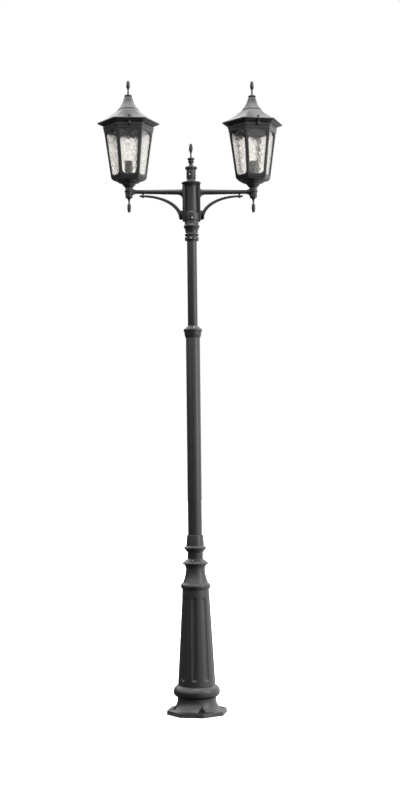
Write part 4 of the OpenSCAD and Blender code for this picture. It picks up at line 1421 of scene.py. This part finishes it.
@dataclass(frozen=True)
class Hood:
    """A lantern's hinged roof: skirt, upper cone, finial and catch screw."""

    side: Side
    brim_r: float = 133.7
    cage_r: float = 104.9
    low: float = 283.0
    eave: float = 296.0
    skirt_top: float = 355.5
    cone_top: float = 412.0
    top: float = 483.0

    def skirt(self) -> Skin:
        """Returns the skirt: a stepped fascia, a thin brim and a hollow-curved slope."""
        r, b = self.cage_r, self.brim_r
        slope = bend([b - 3, self.eave + 2.4], [86, 317], [43.5, self.skirt_top], 20)
        inside = bend([121, 299.8], [84, 314.5], [39.5, self.skirt_top - 3.5], 14)[::-1]
        line = outline(
            [[r + 5, self.low], [r + 6.5, 285.5], [r + 14, 286.5], [r + 18, 290.5]],
            [[b - 2.5, 291.5], [b, 293], [b, self.eave], [b - 0.8, self.eave + 1.6]],
            slope,
            [[39, self.skirt_top]],
            inside,
            [[126, 295.5], [124, 294], [116, 289.3], [100, 288], [100, self.low]],
        )
        return prism(softened(line, 0.8), soft=2.0, loop=True)

    def knuckle(self) -> Skin:
        """Returns the roof's own hinge knuckle with its short strap."""
        line = outline([[2.1, -12], [4, -12], [4, 12], [2.1, 12]])
        barrel = turned(softened(line, 0.4), 28, loop=True)
        points = barrel.points[:, [2, 0, 1]] + np.array([0.0, 103.0, 279.0])
        strap = slab((-12, 100, 280), (12, 105.5, 290), 0.6)
        return joined([Skin(points, barrel.quads, barrel.tris).outward(), strap])

    def cone(self) -> Skin:
        """Returns the upper cone, which stands on the skirt with a small step."""
        line = outline(
            [[45.5, self.skirt_top], [45.2, 357.1]],
            bend([42.6, 358.5], [24.5, 381], [20.8, 398], 14),
            [[16.4, 410.6], [15.4, self.cone_top], [5.2, self.cone_top], [5.2, 405], [12, 404]],
            bend([15.5, 398], [20, 379], [38, 358.5], 10),
            [[39, 356.5], [39, self.skirt_top]],
        )
        return prism(softened(line, 0.7), soft=1.1, loop=True)

    def finial(self) -> Skin:
        """Returns the finial with its disc."""
        line = outline(
            [[0, 402], [5, 402], [5, 412], [12, 412], [12, 413], [15.8, 413.4], [16.8, 414.6]],
            [[16.8, 417], [15.8, 418]],
            bend([12.5, 418.6], [5.4, 421], [3.7, 433], 9),
            bud(self.top - 36),
        )
        return turned(softened(line, 0.6, closed=False), 64)

    def catch(self) -> Skin:
        """Returns the knurled catch screw: r = 5 + 0.35 cos 24 a round its head."""
        a = np.linspace(0.0, TAU, 96, endpoint=False)
        rows = np.array(
            [[0, 275], [2.1, 275], [2.5, 275.6], [2.5, 305.3], [4.4, 305.5], [5, 306], [5, 308.5]]
            + [[4.3, 309], [0, 309]]
        )
        knurl = (rows[:, :1] >= 5) * 0.35 * np.cos(24 * a)
        return polar(rows[:, :1] + knurl, rows[:, 1:], a).moved(0.0, (0.0, -105.0, 0.0))

    def dress(self, shop: Workshop) -> None:
        """Makes this lantern's roof."""
        name, body = self.side.name, self.side.name + "_hood"
        for part, skin, slot, node in (
            ("skirt", joined([self.skirt(), self.knuckle()]), Slot.CASTING, "roof"),
            ("cone", self.cone(), Slot.CASTING, "roof_cone"),
            ("bud", self.finial(), Slot.CASTING, "roof_finial"),
            ("catch", self.catch(), Slot.SCREW, "catch_screw"),
        ):
            shop.make(
                Piece(
                    f"{name}_roof_{part}_made",
                    self.side.placed(skin),
                    slot,
                    body,
                    (f"{name}_{node}",),
                )
            )


# ---- Studio ----------------------------------------------------------------------------


@dataclass(frozen=True)
class Studio:
    """The camera, the lights, the pale floor and the white surround."""

    eye: tuple[float, float, float] = (-0.307, -5.8408, 1.0673)
    yaw: float = 3.279
    pitch: float = 2.768
    roll: float = -0.649
    lens: float = 62.93
    floor_half: float = 30.0

    def camera(self) -> None:
        """Makes the camera from its yaw, pitch and roll in degrees."""
        yaw, pitch, roll = (math.radians(v) for v in (self.yaw, self.pitch, self.roll))
        level = math.cos(pitch)
        ahead = np.array([math.sin(yaw) * level, math.cos(yaw) * level, math.sin(pitch)])
        right = np.array([math.cos(yaw), -math.sin(yaw), 0.0])
        up = np.cross(right, ahead)
        across = math.cos(roll) * right + math.sin(roll) * up
        above = -math.sin(roll) * right + math.cos(roll) * up
        place = np.eye(4)
        place[:3, 0], place[:3, 1], place[:3, 2], place[:3, 3] = across, above, -ahead, self.eye
        data = bpy.data.cameras.new("camera")
        data.lens, data.sensor_width, data.clip_end = self.lens, 36.0, 200.0
        eye = bpy.data.objects.new("camera", data)
        eye.matrix_world = Matrix(place.tolist())
        bpy.context.scene.collection.objects.link(eye)
        bpy.context.scene.camera = eye

    def light(
        self,
        name: str,
        spot: Sequence[float],
        aim: Sequence[float],
        size: Sequence[float],
        watts: float,
    ) -> None:
        """Makes a rectangular soft light at a spot, facing its aim."""
        data = bpy.data.lights.new(name, "AREA")
        data.shape, data.size, data.size_y, data.energy = "RECTANGLE", size[0], size[1], watts
        lamp = bpy.data.objects.new(name, data)
        back = np.array(spot, float) - np.array(aim, float)
        back /= np.linalg.norm(back)
        side = np.cross([0.0, 0.0, 1.0], back)
        side /= np.linalg.norm(side)
        place = np.eye(4)
        place[:3, 0], place[:3, 1], place[:3, 2], place[:3, 3] = side, np.cross(back, side), back, spot
        lamp.matrix_world = Matrix(place.tolist())
        lamp.visible_camera = False
        bpy.context.scene.collection.objects.link(lamp)

    def surround(self) -> None:
        """Makes the surround, which is plain white where it is seen.

        Reflections see a room that is bright above, mid-grey to the right, and dark to the
        left and below.
        """
        world = bpy.data.worlds.new("surround")
        world.use_nodes = True
        tree = world.node_tree
        tree.nodes.clear()
        way = add(tree, "TexCoord", {}, {}).outputs["Generated"]
        xyz = add(tree, "SeparateXYZ", {}, {0: way})
        smooth = {"interpolation_type": "SMOOTHSTEP"}
        side = add(
            tree,
            "MapRange",
            {**smooth, "From Min": -0.2, "From Max": 0.95, "To Min": 0.16, "To Max": 1.9},
            {"Value": xyz.outputs["X"]},
        )
        above = add(
            tree,
            "MapRange",
            {**smooth, "From Min": 0.2, "From Max": 0.5},
            {"Value": xyz.outputs["Z"]},
        )
        below = add(
            tree,
            "MapRange",
            {**smooth, "From Min": -0.35, "From Max": 0.0, "To Min": 0.7},
            {"Value": xyz.outputs["Z"]},
        )
        level = add(
            tree, "Math", {"operation": "MULTIPLY"}, {0: side.outputs[0], 1: below.outputs[0]}
        )
        room = add(
            tree, "Mix", {"data_type": "FLOAT", 3: 2.5}, {0: above.outputs[0], 2: level.outputs[0]}
        )
        path = add(tree, "LightPath", {}, {})
        straight = add(
            tree,
            "MapRange",
            {"From Max": 1.0, "To Min": 1.0, "To Max": 0.0},
            {"Value": path.outputs["Glossy Depth"]},
        )
        clear = add(
            tree,
            "Math",
            {"operation": "MULTIPLY"},
            {0: path.outputs["Is Transmission Ray"], 1: straight.outputs[0]},
        )
        through = add(
            tree,
            "Mix",
            {"data_type": "FLOAT", 3: 1.22},
            {0: clear.outputs[0], 2: room.outputs[0]},
        )
        strength = add(
            tree,
            "Mix",
            {"data_type": "FLOAT", 3: 1.0},
            {0: path.outputs["Is Camera Ray"], 2: through.outputs[0]},
        )
        white = {"Color": (1.0, 1.0, 1.0, 1.0)}
        glow = add(tree, "Background", white, {"Strength": strength.outputs[0]})
        add(tree, "OutputWorld", {}, {"Surface": glow.outputs[0]})
        bpy.context.scene.world = world

    def floor(self) -> None:
        """Makes the pale floor, a plain sheet with a faint mottle."""
        half = self.floor_half
        corners = [(-half, -half, 0.0), (half, -half, 0.0), (half, half, 0.0), (-half, half, 0.0)]
        mesh = bpy.data.meshes.new("floor")
        mesh.from_pydata(corners, [], [(0, 1, 2, 3)])
        material = bpy.data.materials.new("pale_floor_paint")
        material.use_nodes = True
        tree = material.node_tree
        tree.nodes.clear()
        coords = add(tree, "TexCoord", {}, {}).outputs["Object"]
        mottle = add(tree, "TexNoise", {"Scale": 3.0, "Detail": 3.0}, {"Vector": coords})
        colour = add(
            tree,
            "MixRGB",
            {"Color1": linear("#fbfbfb"), "Color2": linear("#f6f6f6")},
            {"Fac": mottle.outputs["Fac"]},
        )
        shader = add(tree, "BsdfDiffuse", {}, {"Color": colour.outputs[0]})
        add(tree, "OutputMaterial", {}, {"Surface": shader.outputs[0]})
        mesh.materials.append(material)
        sheet = bpy.data.objects.new("floor", mesh)
        sheet.visible_glossy = False
        sheet.visible_diffuse = False
        bpy.context.scene.collection.objects.link(sheet)

    def build(self) -> None:
        """Makes the whole studio."""
        self.camera()
        self.surround()
        self.floor()
        self.light("key", (3.6, -2.2, 2.6), (0.0, 0.0, 1.4), (1.2, 3.6), 74.0)
        self.light("top", (0.3, -0.6, 5.2), (0.0, 0.0, 2.4), (3.0, 2.4), 90.0)
        self.light("left", (-3.0, -2.2, 2.6), (0.0, 0.0, 1.6), (0.5, 2.4), 6.0)
        bpy.context.scene.view_settings.view_transform = "Standard"
        log.info("studio ready")


def main() -> None:
    """Builds the post from the ground up, then the studio."""
    logging.basicConfig(level=logging.INFO, format="%(name)s %(message)s")
    shop = Workshop()
    Studio().build()
    for part in (Foot(), Column(), PoleStack(), Head(), Arm()):
        part.dress(shop)
    for name in ("left", "right"):
        side = Side.of(name)
        Lantern(side).dress(shop)
        Hood(side).dress(shop)
    shop.dress_rest()


if __name__ == "__main__":
    main()
